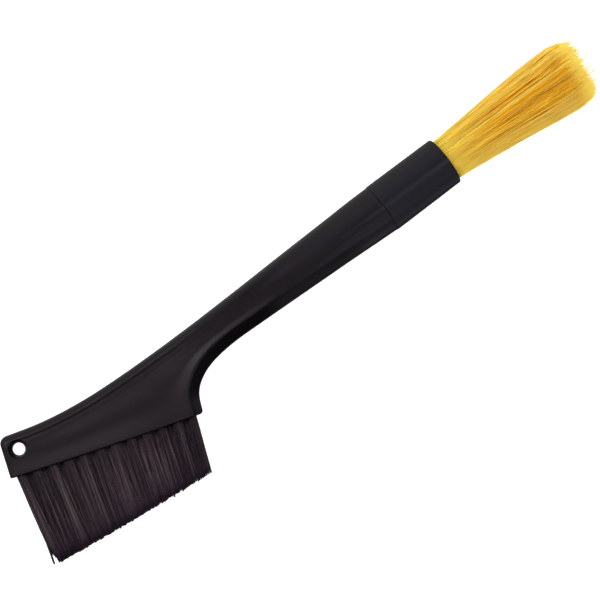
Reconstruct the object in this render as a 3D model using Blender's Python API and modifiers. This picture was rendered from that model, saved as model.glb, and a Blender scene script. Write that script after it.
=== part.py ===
"""Double-ended grinder brush: a moulded handle with a flat staple-set brush along one end,
and a round bundle of natural bristle potted into a sleeve on the other end.

Lengths below are in millimetres in the brush's own axes and are turned into metres when a mesh is made:
  x  along the axis of the round sleeve, towards the round bundle; x = 0 is the joint between handle and sleeve
  y  across the brush, towards the spine; the flat brush hangs towards -y
  z  through the thickness; z = 0 is the plane of symmetry
The whole brush is then laid on a table: z is up, and it rests on the sleeve and on the far end of the head.
"""
import math

import bmesh
import bpy
import numpy as np
from mathutils import Matrix, Vector

MM = 0.001
GAP = 0.3  # between pieces that touch on the real brush

# ---------------------------------------------------------------- driving dimensions, mm
# Sleeve that joins the round bundle to the handle
FERRULE_LENGTH = 30.3
FERRULE_R_SEAM = 10.1
FERRULE_R_MOUTH = 9.95
FERRULE_BORE_R = 8.65
FERRULE_FLOOR_X = 13.2  # bottom of the bristle cup
SOCKET_R = 7.6
SOCKET_DEPTH = 10.5
SPIGOT_R = SOCKET_R - GAP
SPIGOT_LENGTH = SOCKET_DEPTH - GAP
HANDLE_END_R = 9.9
SEAM_CHAMFER = 0.35
PLUG_LENGTH = 4.8

# Handle and head seen from the side: spine above, belly below, three corners of the head
SPINE = [(-163.9, 16.7), (-154.2, 13.9), (-144.0, 11.75), (-132.0, 10.15), (-118.0, 9.2), (-102.0, 8.7),
         (-86.0, 8.55), (-64.0, 8.8), (-40.0, 9.3), (-20.0, 9.65), (-8.0, 9.9), (0.0, HANDLE_END_R)]
BELLY = [(-99.65, -17.7), (-98.3, -14.95), (-96.4, -12.6), (-93.9, -10.7), (-90.9, -9.15), (-87.4, -8.0),
         (-83.4, -7.25), (-78.0, -6.75), (-73.0, -6.65), (-60.0, -7.1), (-40.0, -7.95), (-20.0, -8.85),
         (-8.0, -9.5), (0.0, -HANDLE_END_R)]
TOE_TOP = (-167.95, 18.1)
TOE_BOTTOM = (-173.3, 3.13)
HEEL = (-100.95, -20.9)
TOE_TOP_R = 3.0
TOE_BOTTOM_R = 0.8
HEEL_R = 1.4
UNDERSIDE_BOW = 0.4

# Thickness of the handle: half thickness of the flank along the brush
FLANK = [(-178.0, 3.45), (-150.0, 3.5), (-130.0, 3.7), (-115.0, 4.0), (-104.0, 4.5), (-95.0, 5.2), (-85.0, 5.9),
         (-72.0, 6.5), (-55.0, 7.2), (-35.0, 8.3), (-15.0, 9.4), (0.0, HANDLE_END_R)]
BEAD_RIDGE = 2.6  # from the spine to the top of the bead
BEAD_FOOT = [(-170.0, 3.5), (-155.0, 3.6), (-135.0, 3.9), (-110.0, 4.2), (-95.0, 4.6), (-85.0, 4.8), (-70.0, 5.0),
             (-57.0, 5.2), (-42.0, 5.6), (0.0, 6.5)]  # from the spine to the crease below the bead
BEAD_HEIGHT = [(-172.0, 0.0), (-167.0, 0.06), (-158.0, 0.16), (-110.0, 0.20), (-80.0, 0.21), (-60.0, 0.18), (-35.0, 0.0),
               (0.0, 0.0)]
DISH_DEPTH = [(-170.0, 0.08), (-150.0, 0.32), (-125.0, 0.52), (-105.0, 0.5), (-85.0, 0.35), (-60.0, 0.25),
              (-30.0, 0.0), (0.0, 0.0)]  # the flank is dished between bead and edge
CHAMFER = [(-103.0, 3.7), (-92.0, 4.3), (-85.0, 4.4), (-70.0, 4.2), (-50.0, 4.3), (0.0, 4.7)]  # along the inside of the neck
NOSE_R = 0.9
NOSE_H = 1.1
TOE_EDGE_R = 1.5
UNDERSIDE_EDGE_R = 0.6
ROUND_FROM, ROUND_TO = -66.0, -6.0  # the neck turns into a round grip

# Hang hole, narrowest in the middle of the thickness
HOLE_AT = (-164.35, 10.3)
HOLE_R = 2.4
HOLE_MOUTH_R = 3.35

# Flat brush: two staggered rows, u along the underside from the toe corner, v out of the underside
TUFTS = 23
TUFT_FIRST_U = 3.57
TUFT_PITCH = 3.12
ROW_Z = 1.35
TUFT_R = 1.0
TUFT_HOLE_R = TUFT_R + GAP
TUFT_HOLE_DEPTH = 5.5
LEAN_TOE = 0.0787  # lean of the end tufts towards the middle
LEAN_HEEL = -0.0577
TRIM_TOE = 36.35  # free length at the toe corner, falling by TRIM_SLOPE along the row
TRIM_SLOPE = -0.206
TUFT_TIP_HALF_U = 2.75
TUFT_TIP_HALF_Z = 1.5
ANCHOR_LENGTH = 2.9
ANCHOR_THICK = 0.4
ANCHOR_HEIGHT = 1.2
ANCHOR_TOP_V = -3.2

# Round bundle: side view of the free bristle, and how flat it is
BUNDLE = [(FERRULE_FLOOR_X + PLUG_LENGTH + 2 * GAP, -8.3, 8.3), (30.3, -8.3, 8.3), (33.0, -8.75, 8.65),
          (40.0, -9.4, 9.1), (50.0, -10.6, 9.7), (60.0, -12.0, 10.25), (70.0, -13.5, 10.8), (80.0, -14.9, 11.1),
          (86.0, -15.4, 11.3)]
BUNDLE_FLATNESS = 0.94
BUNDLE_TIP = (95.6, 0.14)  # x of the tip on the bundle's axis, and its slant

# Placing: lying on a table
REST_TILT = math.radians(2.21)
REST_HEIGHT = 10.09
ORIGIN_AT = (-41.1, -11.34)  # brush x, y that stand over the origin


# ---------------------------------------------------------------- clearing the scene
for old in list(bpy.data.objects):
    bpy.data.objects.remove(old, do_unlink=True)

parts = bpy.data.collections.new("grinder_brush")
cutters = bpy.data.collections.new("grinder_brush_cutters")
windows = bpy.data.collections.new("grinder_brush_window_cutters")
for collection in (parts, cutters, windows):
    bpy.context.scene.collection.children.link(collection)


# ---------------------------------------------------------------- small helpers
def material(name, colour, roughness, metallic=0.0):
    mat = bpy.data.materials.new(name)
    mat.use_nodes = True
    shader = mat.node_tree.nodes["Principled BSDF"]
    shader.inputs["Base Color"].default_value = (*colour, 1.0)
    shader.inputs["Roughness"].default_value = roughness
    shader.inputs["Metallic"].default_value = metallic
    mat.diffuse_color = (*colour, 1.0)
    return mat


def add_object(name, mesh, mat, collection, parent=None):
    obj = bpy.data.objects.new(name, mesh)
    collection.objects.link(obj)
    obj.parent = parent
    if mat is not None:
        obj.data.materials.clear()
        obj.data.materials.append(mat)
    return obj


def as_cutter(obj):
    obj.hide_render = True
    obj.display_type = "WIRE"
    return obj


def smooth_curve(points, step=0.4):
    """A centripetal Catmull-Rom curve through the points, as a dense polyline."""
    p = [np.array(q, float) for q in points]
    p = [2 * p[0] - p[1]] + p + [2 * p[-1] - p[-2]]
    out = []
    for a, b, c, d in zip(p, p[1:], p[2:], p[3:]):
        t0 = 0.0
        t1 = t0 + math.sqrt(np.linalg.norm(b - a))
        t2 = t1 + math.sqrt(np.linalg.norm(c - b))
        t3 = t2 + math.sqrt(np.linalg.norm(d - c))
        n = max(2, int(np.linalg.norm(c - b) / step))
        for t in np.linspace(t1, t2, n, endpoint=False):
            a1 = (t1 - t) / (t1 - t0) * a + (t - t0) / (t1 - t0) * b
            a2 = (t2 - t) / (t2 - t1) * b + (t - t1) / (t2 - t1) * c
            a3 = (t3 - t) / (t3 - t2) * c + (t - t2) / (t3 - t2) * d
            b1 = (t2 - t) / (t2 - t0) * a1 + (t - t0) / (t2 - t0) * a2
            b2 = (t3 - t) / (t3 - t1) * a2 + (t - t1) / (t3 - t1) * a3
            out.append((t2 - t) / (t2 - t1) * b1 + (t - t1) / (t2 - t1) * b2)
    out.append(p[-2])
    return np.array(out)


def fillet(before, corner, after, radius, n=10):
    """Points of the arc that rounds a corner, from its first tangent point to its second."""
    c = np.array(corner, float)
    a = np.array(before, float) - c
    b = np.array(after, float) - c
    a /= np.linalg.norm(a)
    b /= np.linalg.norm(b)
    half = math.acos(float(a @ b)) / 2
    bis = (a + b) / np.linalg.norm(a + b)
    centre = c + bis * radius / math.sin(half)
    start = c + a * radius / math.tan(half) - centre
    end = c + b * radius / math.tan(half) - centre
    a0 = math.atan2(start[1], start[0])
    a1 = math.atan2(end[1], end[0])
    turn = (a1 - a0 + math.pi) % (2 * math.pi) - math.pi
    return [centre + radius * np.array((math.cos(a0 + turn * k / n), math.sin(a0 + turn * k / n)))
            for k in range(n + 1)]


def table(x, rows):
    """A smooth monotone curve through the rows of a table."""
    xs = np.array([r[0] for r in rows], float)
    ys = np.array([r[1] for r in rows], float)
    h = np.diff(xs)
    d = np.diff(ys) / h
    m = np.zeros_like(ys)
    for i in range(1, len(xs) - 1):
        if d[i - 1] * d[i] > 0:
            w1, w2 = 2 * h[i] + h[i - 1], h[i] + 2 * h[i - 1]
            m[i] = (w1 + w2) / (w1 / d[i - 1] + w2 / d[i])
    m[0], m[-1] = d[0], d[-1]
    x = np.clip(np.asarray(x, float), xs[0], xs[-1])
    i = np.clip(np.searchsorted(xs, x, side="right") - 1, 0, len(xs) - 2)
    t = (x - xs[i]) / h[i]
    return ((2 * t**3 - 3 * t**2 + 1) * ys[i] + (t**3 - 2 * t**2 + t) * h[i] * m[i]
            + (3 * t**2 - 2 * t**3) * ys[i + 1] + (t**3 - t**2) * h[i] * m[i + 1])


def ramp(x, a, b):
    t = np.clip((np.asarray(x, float) - a) / (b - a), 0.0, 1.0)
    return t * t * (3 - 2 * t)


def quarter(d, r):
    """Height of a quarter ellipse, 0 at the edge and 1 from the distance r on."""
    return np.sqrt(np.clip(1 - (1 - np.clip(np.asarray(d, float) / r, 0, 1)) ** 2, 0, 1))


def soft_min(a, b, k):
    h = np.clip(0.5 + 0.5 * (b - a) / k, 0, 1)
    return b * (1 - h) + a * h - k * h * (1 - h)


def distance(points, line):
    """Distance of each point to a polyline."""
    a, b = line[:-1], line[1:]
    ab = b - a
    t = np.einsum("pkj,kj->pk", points[:, None, :] - a[None], ab) / np.einsum("kj,kj->k", ab, ab)
    near = a[None] + np.clip(t, 0, 1)[:, :, None] * ab[None]
    return np.linalg.norm(points[:, None, :] - near, axis=2).min(axis=1)


# ---------------------------------------------------------------- outline of the handle
toe_top, toe_bottom, heel = (np.array(p, float) for p in (TOE_TOP, TOE_BOTTOM, HEEL))
U = (heel - toe_bottom) / np.linalg.norm(heel - toe_bottom)  # along the underside
V = np.array((U[1], -U[0]))  # out of the underside
ROW_LENGTH = float(np.linalg.norm(heel - toe_bottom))
toe_in = toe_top - toe_bottom
toe_in = np.array((toe_in[1], -toe_in[0])) / np.linalg.norm(toe_in)  # from the toe face into the head

spine = smooth_curve(SPINE)
belly = smooth_curve(BELLY)
bow = [toe_bottom + U * ROW_LENGTH * t + V * UNDERSIDE_BOW * 4 * t * (1 - t) for t in np.linspace(0, 1, 61)]

toe_top_arc = fillet(toe_bottom, toe_top, spine[0], TOE_TOP_R)
toe_bottom_arc = fillet(toe_top, toe_bottom, bow[4], TOE_BOTTOM_R)
heel_arc = fillet(bow[-5], heel, belly[0], HEEL_R)

upper = np.array(toe_top_arc + list(spine))
along_bow = [p for p in bow if (p - toe_bottom_arc[-1]) @ U > 0.3 and (heel_arc[0] - p) @ U > 0.3]
lower = np.array(toe_bottom_arc + along_bow + heel_arc + list(belly))

spine_line = np.vstack([spine[0] + (toe_top - spine[0]) * 3, spine])
under_line = np.vstack([toe_bottom - U * 5, np.array(bow), heel + U * 5])
neck_line = np.vstack([belly[0] + (heel - belly[0]) * 3, belly])


def half_thickness(p):
    """Half thickness of the handle over a point of its outline."""
    x, y = p[:, 0], p[:, 1]
    xi = x + 0.35 * np.clip(y, -25, 10) * ramp(-x, 70, 100)
    flank = table(xi, FLANK)
    ds = distance(p, spine_line)
    du = distance(p, under_line)
    dn = distance(p, neck_line)
    dl = np.clip((p - toe_bottom) @ toe_in, 0, None)
    foot, lift, width = table(x, BEAD_FOOT), table(x, BEAD_HEIGHT), table(x, CHAMFER)
    edge = np.clip(np.minimum(du - 0.8, dn - width), 0, None)
    w = (ds - foot - 0.8) / np.maximum(ds - foot - 0.8 + edge, 1e-3)
    dish = table(x, DISH_DEPTH) * np.sin(math.pi * np.clip(w, 0, 1)) ** 1.3
    # bead along the spine: up to its ridge, down into the crease, out onto the flank
    top = flank + lift
    crease = flank - 0.35 * lift
    bead = 0.5 + (top - 0.5) * quarter(ds, BEAD_RIDGE)
    bead = np.where(ds > BEAD_RIDGE, top + (crease - top) * ramp(ds, BEAD_RIDGE, foot), bead)
    bead = np.where(ds > foot, crease + (flank - crease) * ramp(ds, foot, foot + 1.6), bead)
    z = bead - dish
    z = soft_min(z, NOSE_H * quarter(dn, NOSE_R) + (flank - NOSE_H) / width * dn + 0.3, 0.5)
    z = np.minimum(z, flank + lift * ramp(du, UNDERSIDE_EDGE_R, 4.0)
                   - UNDERSIDE_EDGE_R * (1 - quarter(du, UNDERSIDE_EDGE_R)))
    z = np.minimum(z, flank + lift * ramp(dl, TOE_EDGE_R, 4.5) - TOE_EDGE_R * (1 - quarter(dl, TOE_EDGE_R)))
    top_y = np.interp(x, spine[:, 0], spine[:, 1])
    low_y = np.interp(x, belly[2:, 0], belly[2:, 1])
    r, c = (top_y - low_y) / 2, (top_y + low_y) / 2
    turned = np.sqrt(np.clip(r * r - (y - c) ** 2, 0, None))
    k = ramp(x, ROUND_FROM, ROUND_TO)
    return z * (1 - k) + turned * k


def arc_length(line):
    return np.concatenate([[0], np.cumsum(np.linalg.norm(np.diff(line, axis=0), axis=1))])


def at_length(line, s):
    run = arc_length(line)
    return np.array([np.interp(s, run, line[:, 0]), np.interp(s, run, line[:, 1])])


def length_at(line, point):
    """Arc length of the polyline's vertex nearest to a point."""
    return float(arc_length(line)[np.linalg.norm(line - np.array(point), axis=1).argmin()])


def stations(spacing):
    """Pairs of points, one on the spine side and one on the belly side, that span the sections of the handle."""
    pairs = []
    depth_up = (upper - toe_bottom) @ toe_in
    depth_low = (lower - toe_bottom) @ toe_in
    n_up = len(toe_top_arc) + 6
    n_low = len(toe_bottom_arc) + 8
    for d in (0.0, 0.2, 0.6, 1.2, 2.0):
        pairs.append((np.array([np.interp(d, depth_up[:n_up], upper[:n_up, j]) for j in (0, 1)]),
                      np.array([np.interp(d, depth_low[:n_low], lower[:n_low, j]) for j in (0, 1)])))
    ties = [(pairs[-1][0], pairs[-1][1])]
    for up_x, low in ((-152, toe_bottom + U * ROW_LENGTH * 0.26), (-139, toe_bottom + U * ROW_LENGTH * 0.5),
                      (-126, toe_bottom + U * ROW_LENGTH * 0.75), (-114, heel_arc[0]), (-112, heel_arc[-1]),
                      (-107.5, BELLY[1]), (-104, BELLY[2]), (-100, BELLY[3]), (-95.5, BELLY[4]), (-91, BELLY[5]),
                      (-86, BELLY[6]), (-79.5, BELLY[7]), (-60, BELLY[9]), (-40, BELLY[10]), (-20, BELLY[11]),
                      (-8, BELLY[12])):
        up = (up_x, float(np.interp(up_x, spine[:, 0], spine[:, 1])))
        ties.append((up, low))
    s_up = [length_at(upper, t[0]) for t in ties]
    s_low = [length_at(lower, t[1]) for t in ties]
    s_up[0] = float(np.interp(2.0, depth_up[:n_up], arc_length(upper)[:n_up]))
    s_low[0] = float(np.interp(2.0, depth_low[:n_low], arc_length(lower)[:n_low]))
    for i in range(len(ties) - 1):
        n = max(1, round(max(s_up[i + 1] - s_up[i], (s_low[i + 1] - s_low[i])) / spacing))
        if i == 4:
            n = 3  # round the heel corner
        for k in range(1, n + 1):
            t = k / n
            pairs.append((at_length(upper, s_up[i] + (s_up[i + 1] - s_up[i]) * t),
                          at_length(lower, s_low[i] + (s_low[i + 1] - s_low[i]) * t)))
    for x in (-4.0, -GAP / 2 - SEAM_CHAMFER):
        pairs.append((np.array((x, np.interp(x, spine[:, 0], spine[:, 1]))),
                      np.array((x, np.interp(x, belly[2:, 0], belly[2:, 1])))))
    return pairs


def section(top, low, near_spine, middle, near_belly):
    """Upper half of one section as (x, y, z) points, from the spine's parting line to the belly's."""
    lam = np.linspace(0, 1, 161)
    p = top[None] + (low - top)[None] * lam[:, None]
    ds = np.maximum.accumulate(distance(p, spine_line))
    de = np.minimum(distance(p, under_line), distance(p, neck_line))
    de = np.maximum.accumulate(de[::-1])[::-1]
    first = [float(np.interp(o, ds - ds[0], lam)) for o in near_spine]
    last = [float(np.interp(-o, -(de - de[-1]), lam)) for o in near_belly]
    a, b = first[-1], last[0]
    inner = [a + (b - a) * (k + 1) / (middle + 1) for k in range(middle)]
    own = np.array(first + inner + last)
    n = len(own)
    even = np.array([(1 - math.cos(math.pi * (k + 1) / (n + 1))) / 2 for k in range(n)])
    k = float(ramp((top[0] + low[0]) / 2, ROUND_FROM, ROUND_TO))
    own = own * (1 - k) + even * k
    q = top[None] + (low - top)[None] * own[:, None]
    z = half_thickness(q)
    return ([(top[0], top[1], 0.0)] + [(float(a[0]), float(a[1]), float(h)) for a, h in zip(q, z)]
            + [(low[0], low[1], 0.0)])


def ring_from(half):
    return half + [(x, y, -z) for x, y, z in reversed(half[1:-1])]


def loft(name, rings, mat, collection, parent=None):
    """A closed body through rings with the same number of points, closed by a flat face at each end."""
    bm = bmesh.new()
    loops = [[bm.verts.new(Vector(p) * MM) for p in ring] for ring in rings]
    for a, b in zip(loops, loops[1:]):
        n = len(a)
        for i in range(n):
            j = (i + 1) % n
            bm.faces.new((a[i], a[j], b[j], b[i]))
    bm.faces.new(loops[0][::-1])
    bm.faces.new(loops[-1])
    bmesh.ops.recalc_face_normals(bm, faces=bm.faces)
    mesh = bpy.data.meshes.new(name)
    bm.to_mesh(mesh)
    bm.free()
    mesh.shade_smooth()
    mesh.set_sharp_from_angle(angle=math.radians(30))
    return add_object(name, mesh, mat, collection, parent)


def turned(name, profile, steps, mat, collection, parent=None):
    """A solid of revolution about x; the profile is (x, r), running along its outside from +x to -x."""
    bm = bmesh.new()
    verts = [bm.verts.new((r * MM, 0.0, x * MM)) for x, r in profile]
    for a, b in zip(verts, verts[1:]):
        bm.edges.new((a, b))
    mesh = bpy.data.meshes.new(name)
    bm.to_mesh(mesh)
    bm.free()
    obj = add_object(name, mesh, mat, collection, parent)
    spin = obj.modifiers.new("spin", "SCREW")
    spin.axis = "Z"
    spin.steps = steps
    spin.render_steps = steps
    spin.use_merge_vertices = True
    spin.merge_threshold = 0.00005
    spin.use_smooth_shade = True
    obj.rotation_euler = (0.0, math.radians(90), 0.0)
    return obj


def block(name, size, at, collection):
    """A box of this size along u, v and z."""
    bpy.ops.mesh.primitive_cube_add(size=1.0)
    obj = bpy.context.active_object
    obj.name = obj.data.name = name
    obj.data.transform(Matrix.Diagonal((size[0] * MM, size[1] * MM, size[2] * MM, 1.0)))
    for c in list(obj.users_collection):
        c.objects.unlink(obj)
    collection.objects.link(obj)
    obj.parent = brush_axes
    obj.rotation_euler = (0.0, 0.0, math.atan2(U[1], U[0]))
    obj.location = Vector(at) * MM
    return obj


# ---------------------------------------------------------------- materials
black_handle = material("handle_plastic", (0.022, 0.020, 0.021), 0.50)
black_sleeve = material("sleeve_plastic", (0.021, 0.021, 0.024), 0.55)
gold_bristle = material("natural_bristle", (0.75, 0.42, 0.09), 0.55)
dark_bristle = material("nylon_bristle", (0.040, 0.026, 0.026), 0.45)
staple_steel = material("staple_steel", (0.55, 0.55, 0.56), 0.35, 1.0)
potting = material("potting_resin", (0.30, 0.18, 0.06), 0.30)

# ---------------------------------------------------------------- the brush's own axes, laid on the table
brush_axes = bpy.data.objects.new("brush_axes", None)
parts.objects.link(brush_axes)
brush_axes.rotation_euler = (0.0, -REST_TILT, 0.0)
brush_axes.location = (-ORIGIN_AT[0] * math.cos(REST_TILT) * MM, -ORIGIN_AT[1] * MM, REST_HEIGHT * MM)

# ---------------------------------------------------------------- handle with head, neck, grip and spigot
NEAR_SPINE = (0.0, 0.25, 0.9, 1.8, BEAD_RIDGE + 0.2, 4.4)
NEAR_BELLY = (4.6, 2.4, 0.8, 0.15)
rings = [ring_from(section(t, b, NEAR_SPINE, 4, NEAR_BELLY)) for t, b in stations(4.6)]
end = rings[-1]
for x, scale in ((-GAP / 2, (HANDLE_END_R - SEAM_CHAMFER) / HANDLE_END_R), (-GAP / 2, SPIGOT_R / HANDLE_END_R),
                 (SPIGOT_LENGTH - 0.5, SPIGOT_R / HANDLE_END_R), (SPIGOT_LENGTH, (SPIGOT_R - 0.5) / HANDLE_END_R)):
    rings.append([(x, y * scale, z * scale) for _, y, z in end])
handle = loft("handle_body", rings, black_handle, parts, brush_axes)

# hang hole: an hourglass, narrowest at the middle of the thickness
hole_profile = []
for k in range(9):
    z = 6.0 - 12.0 * k / 8
    hole_profile.append((z, HOLE_R + (HOLE_MOUTH_R - HOLE_R) * max(0.0, (abs(z) - 0.5) / 3.0)))
hang = turned("hang_hole_cutter", [(6.0, 0.0)] + hole_profile + [(-6.0, 0.0)], 28, None, cutters, brush_axes)
hang.rotation_euler = (0.0, 0.0, 0.0)
hang.location = (HOLE_AT[0] * MM, HOLE_AT[1] * MM, 0.0)
as_cutter(hang)


def on_row(u, v, z):
    p = toe_bottom + U * u + V * v
    return (float(p[0]), float(p[1]), z)


def tuft_u(i):
    return TUFT_FIRST_U + TUFT_PITCH * i


def tuft_z(i):
    return ROW_Z if i % 2 == 0 else -ROW_Z


def tuft_name(i):
    return f"front_{i // 2 + 1:02d}" if i % 2 == 0 else f"rear_{i // 2 + 1:02d}"


# tuft holes: a round blind hole with a groove on each side, which the anchor's ends cut as it is driven in
groove_half = ANCHOR_LENGTH / 2 + GAP
groove_thick = ANCHOR_THICK / 2 + GAP
for i in range(TUFTS):
    u, z = tuft_u(i), tuft_z(i)
    outline = []
    for side in (1, -1):
        a0 = math.asin(groove_thick / TUFT_HOLE_R)
        outline.append((side * groove_half, -side * groove_thick))
        outline.append((side * groove_half, side * groove_thick))
        for k in range(6):
            a = a0 + (math.pi - 2 * a0) * k / 5
            outline.append((side * TUFT_HOLE_R * math.cos(a), side * TUFT_HOLE_R * math.sin(a)))
    rings = [[on_row(u + a, v, z + b) for a, b in outline] for v in (2.5, -TUFT_HOLE_DEPTH)]
    as_cutter(loft("tuft_hole_cutter_" + tuft_name(i), rings, None, cutters, brush_axes))

cut = handle.modifiers.new("holes", "BOOLEAN")
cut.operand_type = "COLLECTION"
cut.collection = cutters
cut.operation = "DIFFERENCE"
cut.solver = "EXACT"

# ---------------------------------------------------------------- sleeve, potting and round bundle
L = FERRULE_LENGTH
turned("ferrule", [(FERRULE_FLOOR_X, 0.0), (FERRULE_FLOOR_X, FERRULE_BORE_R), (L - 0.3, FERRULE_BORE_R),
                   (L, FERRULE_BORE_R + 0.3), (L, FERRULE_R_MOUTH - 0.35), (L - 0.1, FERRULE_R_MOUTH - 0.1),
                   (L - 0.35, FERRULE_R_MOUTH), (GAP / 2 + SEAM_CHAMFER, FERRULE_R_SEAM),
                   (GAP / 2, FERRULE_R_SEAM - SEAM_CHAMFER), (GAP / 2, SOCKET_R), (SOCKET_DEPTH, SOCKET_R),
                   (SOCKET_DEPTH, 0.0)], 48, black_sleeve, parts, brush_axes)

plug_x0 = FERRULE_FLOOR_X + GAP
plug_x1 = plug_x0 + PLUG_LENGTH
plug_r = FERRULE_BORE_R - GAP
turned("bristle_resin_plug", [(plug_x1, 0.0), (plug_x1, plug_r - 0.6), (plug_x1 - 0.4, plug_r), (plug_x0, plug_r),
                              (plug_x0, 0.0)], 36, potting, parts, brush_axes)

SIDES = 28
rings = []
tip_x, slant = BUNDLE_TIP
last_x, last_lo, last_hi = BUNDLE[-1]
stops = [(x, lo, hi, 0.0) for x, lo, hi in BUNDLE]
for k in range(1, 6):  # the rounded shoulder and the slanted, slightly domed tip
    a = math.radians(90) * k / 5
    r = 1 - 0.27 * (1 - math.cos(a)) if k < 5 else 0.5
    grow = math.sin(a) if k < 5 else 1.06
    mid, half = (last_lo + last_hi) / 2, (last_hi - last_lo) / 2
    stops.append((last_x + (tip_x - last_x) * grow, mid - half * r, mid + half * r, slant * (k / 5)))
for x, lo, hi, tilt in stops:
    mid, half = (lo + hi) / 2, (hi - lo) / 2
    flat = 1.0 if x < 31 else 1 - (1 - BUNDLE_FLATNESS) * min(1.0, (x - 31) / 25)
    ring = []
    for k in range(SIDES):
        a = 2 * math.pi * k / SIDES
        y, z = half * math.cos(a), half * flat * math.sin(a)
        ring.append((x + tilt * y, mid + y, z))
    rings.append(ring)
loft("round_bristle_bundle", rings, gold_bristle, parts, brush_axes)

# ---------------------------------------------------------------- flat brush: tufts and their anchors
TUFT_SIDES = 12
for i in range(TUFTS):
    u0, z0, row = tuft_u(i), tuft_z(i), (1 if i % 2 == 0 else -1)
    share = (u0 - TUFT_FIRST_U) / (TUFT_PITCH * (TUFTS - 1))
    lean = LEAN_TOE + (LEAN_HEEL - LEAN_TOE) * share
    free = TRIM_TOE + TRIM_SLOPE * u0
    edge_toe = TUFT_FIRST_U - TUFT_R
    edge_heel = TUFT_FIRST_U + TUFT_PITCH * (TUFTS - 1) + TUFT_R
    rings = []
    for share_v in (-1.0, 0.0, 0.3, 1.0):
        v_mid = free * share_v if share_v >= 0 else -(TUFT_HOLE_DEPTH - GAP)
        grow = math.sqrt(max(share_v, 0.0))
        centre = u0 + lean * max(v_mid, 0.0)
        room_toe = centre - (edge_toe + LEAN_TOE * max(v_mid, 0.0))
        room_heel = (edge_heel + LEAN_HEEL * max(v_mid, 0.0)) - centre
        half_lo = TUFT_R + (min(TUFT_TIP_HALF_U, room_toe) - TUFT_R) * grow
        half_hi = TUFT_R + (min(TUFT_TIP_HALF_U, room_heel) - TUFT_R) * grow
        half_z = TUFT_R + (TUFT_TIP_HALF_Z - TUFT_R) * grow
        z_mid = z0 + row * (TUFT_TIP_HALF_Z + GAP / 2 - ROW_Z) * grow
        ring = []
        for k in range(TUFT_SIDES):
            a = 2 * math.pi * (k + 0.5) / TUFT_SIDES
            c, s = math.cos(a), math.sin(a)
            power = 1 - 0.45 * grow  # from a circle to a rounded rectangle
            c = math.copysign(abs(c) ** power, c)
            s = math.copysign(abs(s) ** power, s)
            du = (half_hi if c > 0 else half_lo) * c
            v = v_mid if share_v <= 0 else (TRIM_TOE + TRIM_SLOPE * (centre + du)) * share_v
            ring.append(on_row(centre + du, v, z_mid + half_z * s))
        rings.append(ring)
    tuft = loft("flat_tuft_" + tuft_name(i), rings, dark_bristle, parts, brush_axes)

    # the filaments are folded round the anchor, which leaves a window for it through the root
    wz, wu = ANCHOR_THICK / 2 + GAP, TUFT_R + 0.5
    v_hi, v_lo = ANCHOR_TOP_V + GAP, ANCHOR_TOP_V - ANCHOR_HEIGHT - GAP
    eye = as_cutter(block("anchor_window_cutter_" + tuft_name(i), (2 * wu, v_hi - v_lo, 2 * wz),
                          on_row(u0, (v_hi + v_lo) / 2, z0), windows))
    slot = tuft.modifiers.new("anchor_window", "BOOLEAN")
    slot.object = eye
    slot.operation = "DIFFERENCE"
    slot.solver = "EXACT"

    anchor = block("tuft_anchor_" + tuft_name(i), (ANCHOR_LENGTH, ANCHOR_HEIGHT, ANCHOR_THICK),
                   on_row(u0, ANCHOR_TOP_V - ANCHOR_HEIGHT / 2, z0), parts)
    anchor.data.materials.append(staple_steel)

bpy.context.view_layer.update()
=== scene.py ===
"""Looks of the double-ended grinder brush: a satin black moulded handle, real hair for the round bundle and the
flat tufts, a pale studio table and the photograph's camera.

Lengths are in millimetres in the brush's own axes, as in part.py, until a mesh is made:
  x  along the axis of the sleeve, towards the round bundle; x = 0 is the joint between handle and sleeve
  y  across the brush, towards the spine
  z  through the thickness
"""
import math

import bpy
import bmesh
import numpy as np
from mathutils import Matrix, Vector


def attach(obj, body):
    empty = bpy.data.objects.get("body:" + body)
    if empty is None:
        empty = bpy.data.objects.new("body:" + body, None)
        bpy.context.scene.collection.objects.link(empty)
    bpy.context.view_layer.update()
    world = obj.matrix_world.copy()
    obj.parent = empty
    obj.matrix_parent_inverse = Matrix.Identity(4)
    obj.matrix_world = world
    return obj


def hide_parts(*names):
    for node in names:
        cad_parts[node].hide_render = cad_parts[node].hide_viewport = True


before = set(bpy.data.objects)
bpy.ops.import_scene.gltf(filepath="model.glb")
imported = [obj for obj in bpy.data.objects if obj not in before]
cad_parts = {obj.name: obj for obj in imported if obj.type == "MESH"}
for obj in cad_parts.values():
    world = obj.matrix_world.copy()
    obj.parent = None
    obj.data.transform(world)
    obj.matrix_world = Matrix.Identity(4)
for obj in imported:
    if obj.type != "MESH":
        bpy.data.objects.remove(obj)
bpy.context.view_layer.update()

MM = 0.001
RNG = np.random.default_rng(20261126)

# ---------------------------------------------------------------- how the brush lies in the row frame
REST_TILT = math.radians(2.21)
REST_HEIGHT = 10.09
ORIGIN_AT = (-41.1, -11.34)
TO_ROW = (Matrix.Translation((-ORIGIN_AT[0] * math.cos(REST_TILT) * MM, -ORIGIN_AT[1] * MM, REST_HEIGHT * MM))
          @ Matrix.Rotation(-REST_TILT, 4, "Y") @ Matrix.Scale(MM, 4))
TO_ROW_NP = np.array(TO_ROW)


def to_row(points):
    """Brush millimetres to row-frame metres, for an array of points."""
    p = np.asarray(points, float)
    return p @ TO_ROW_NP[:3, :3].T + TO_ROW_NP[:3, 3]


# ---------------------------------------------------------------- sizes, as in part.py
GAP = 0.3
FERRULE_LENGTH = 30.3
FERRULE_R_SEAM = 10.1
FERRULE_R_MOUTH = 9.95
FERRULE_BORE_R = 8.65
FERRULE_FLOOR_X = 13.2
SOCKET_R = 7.6
SOCKET_DEPTH = 10.5
SPIGOT_R = SOCKET_R - GAP
SPIGOT_LENGTH = SOCKET_DEPTH - GAP
HANDLE_END_R = 9.9
SEAM_GAP = 0.05
SEAM_CHAMFER = 0.10

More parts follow.
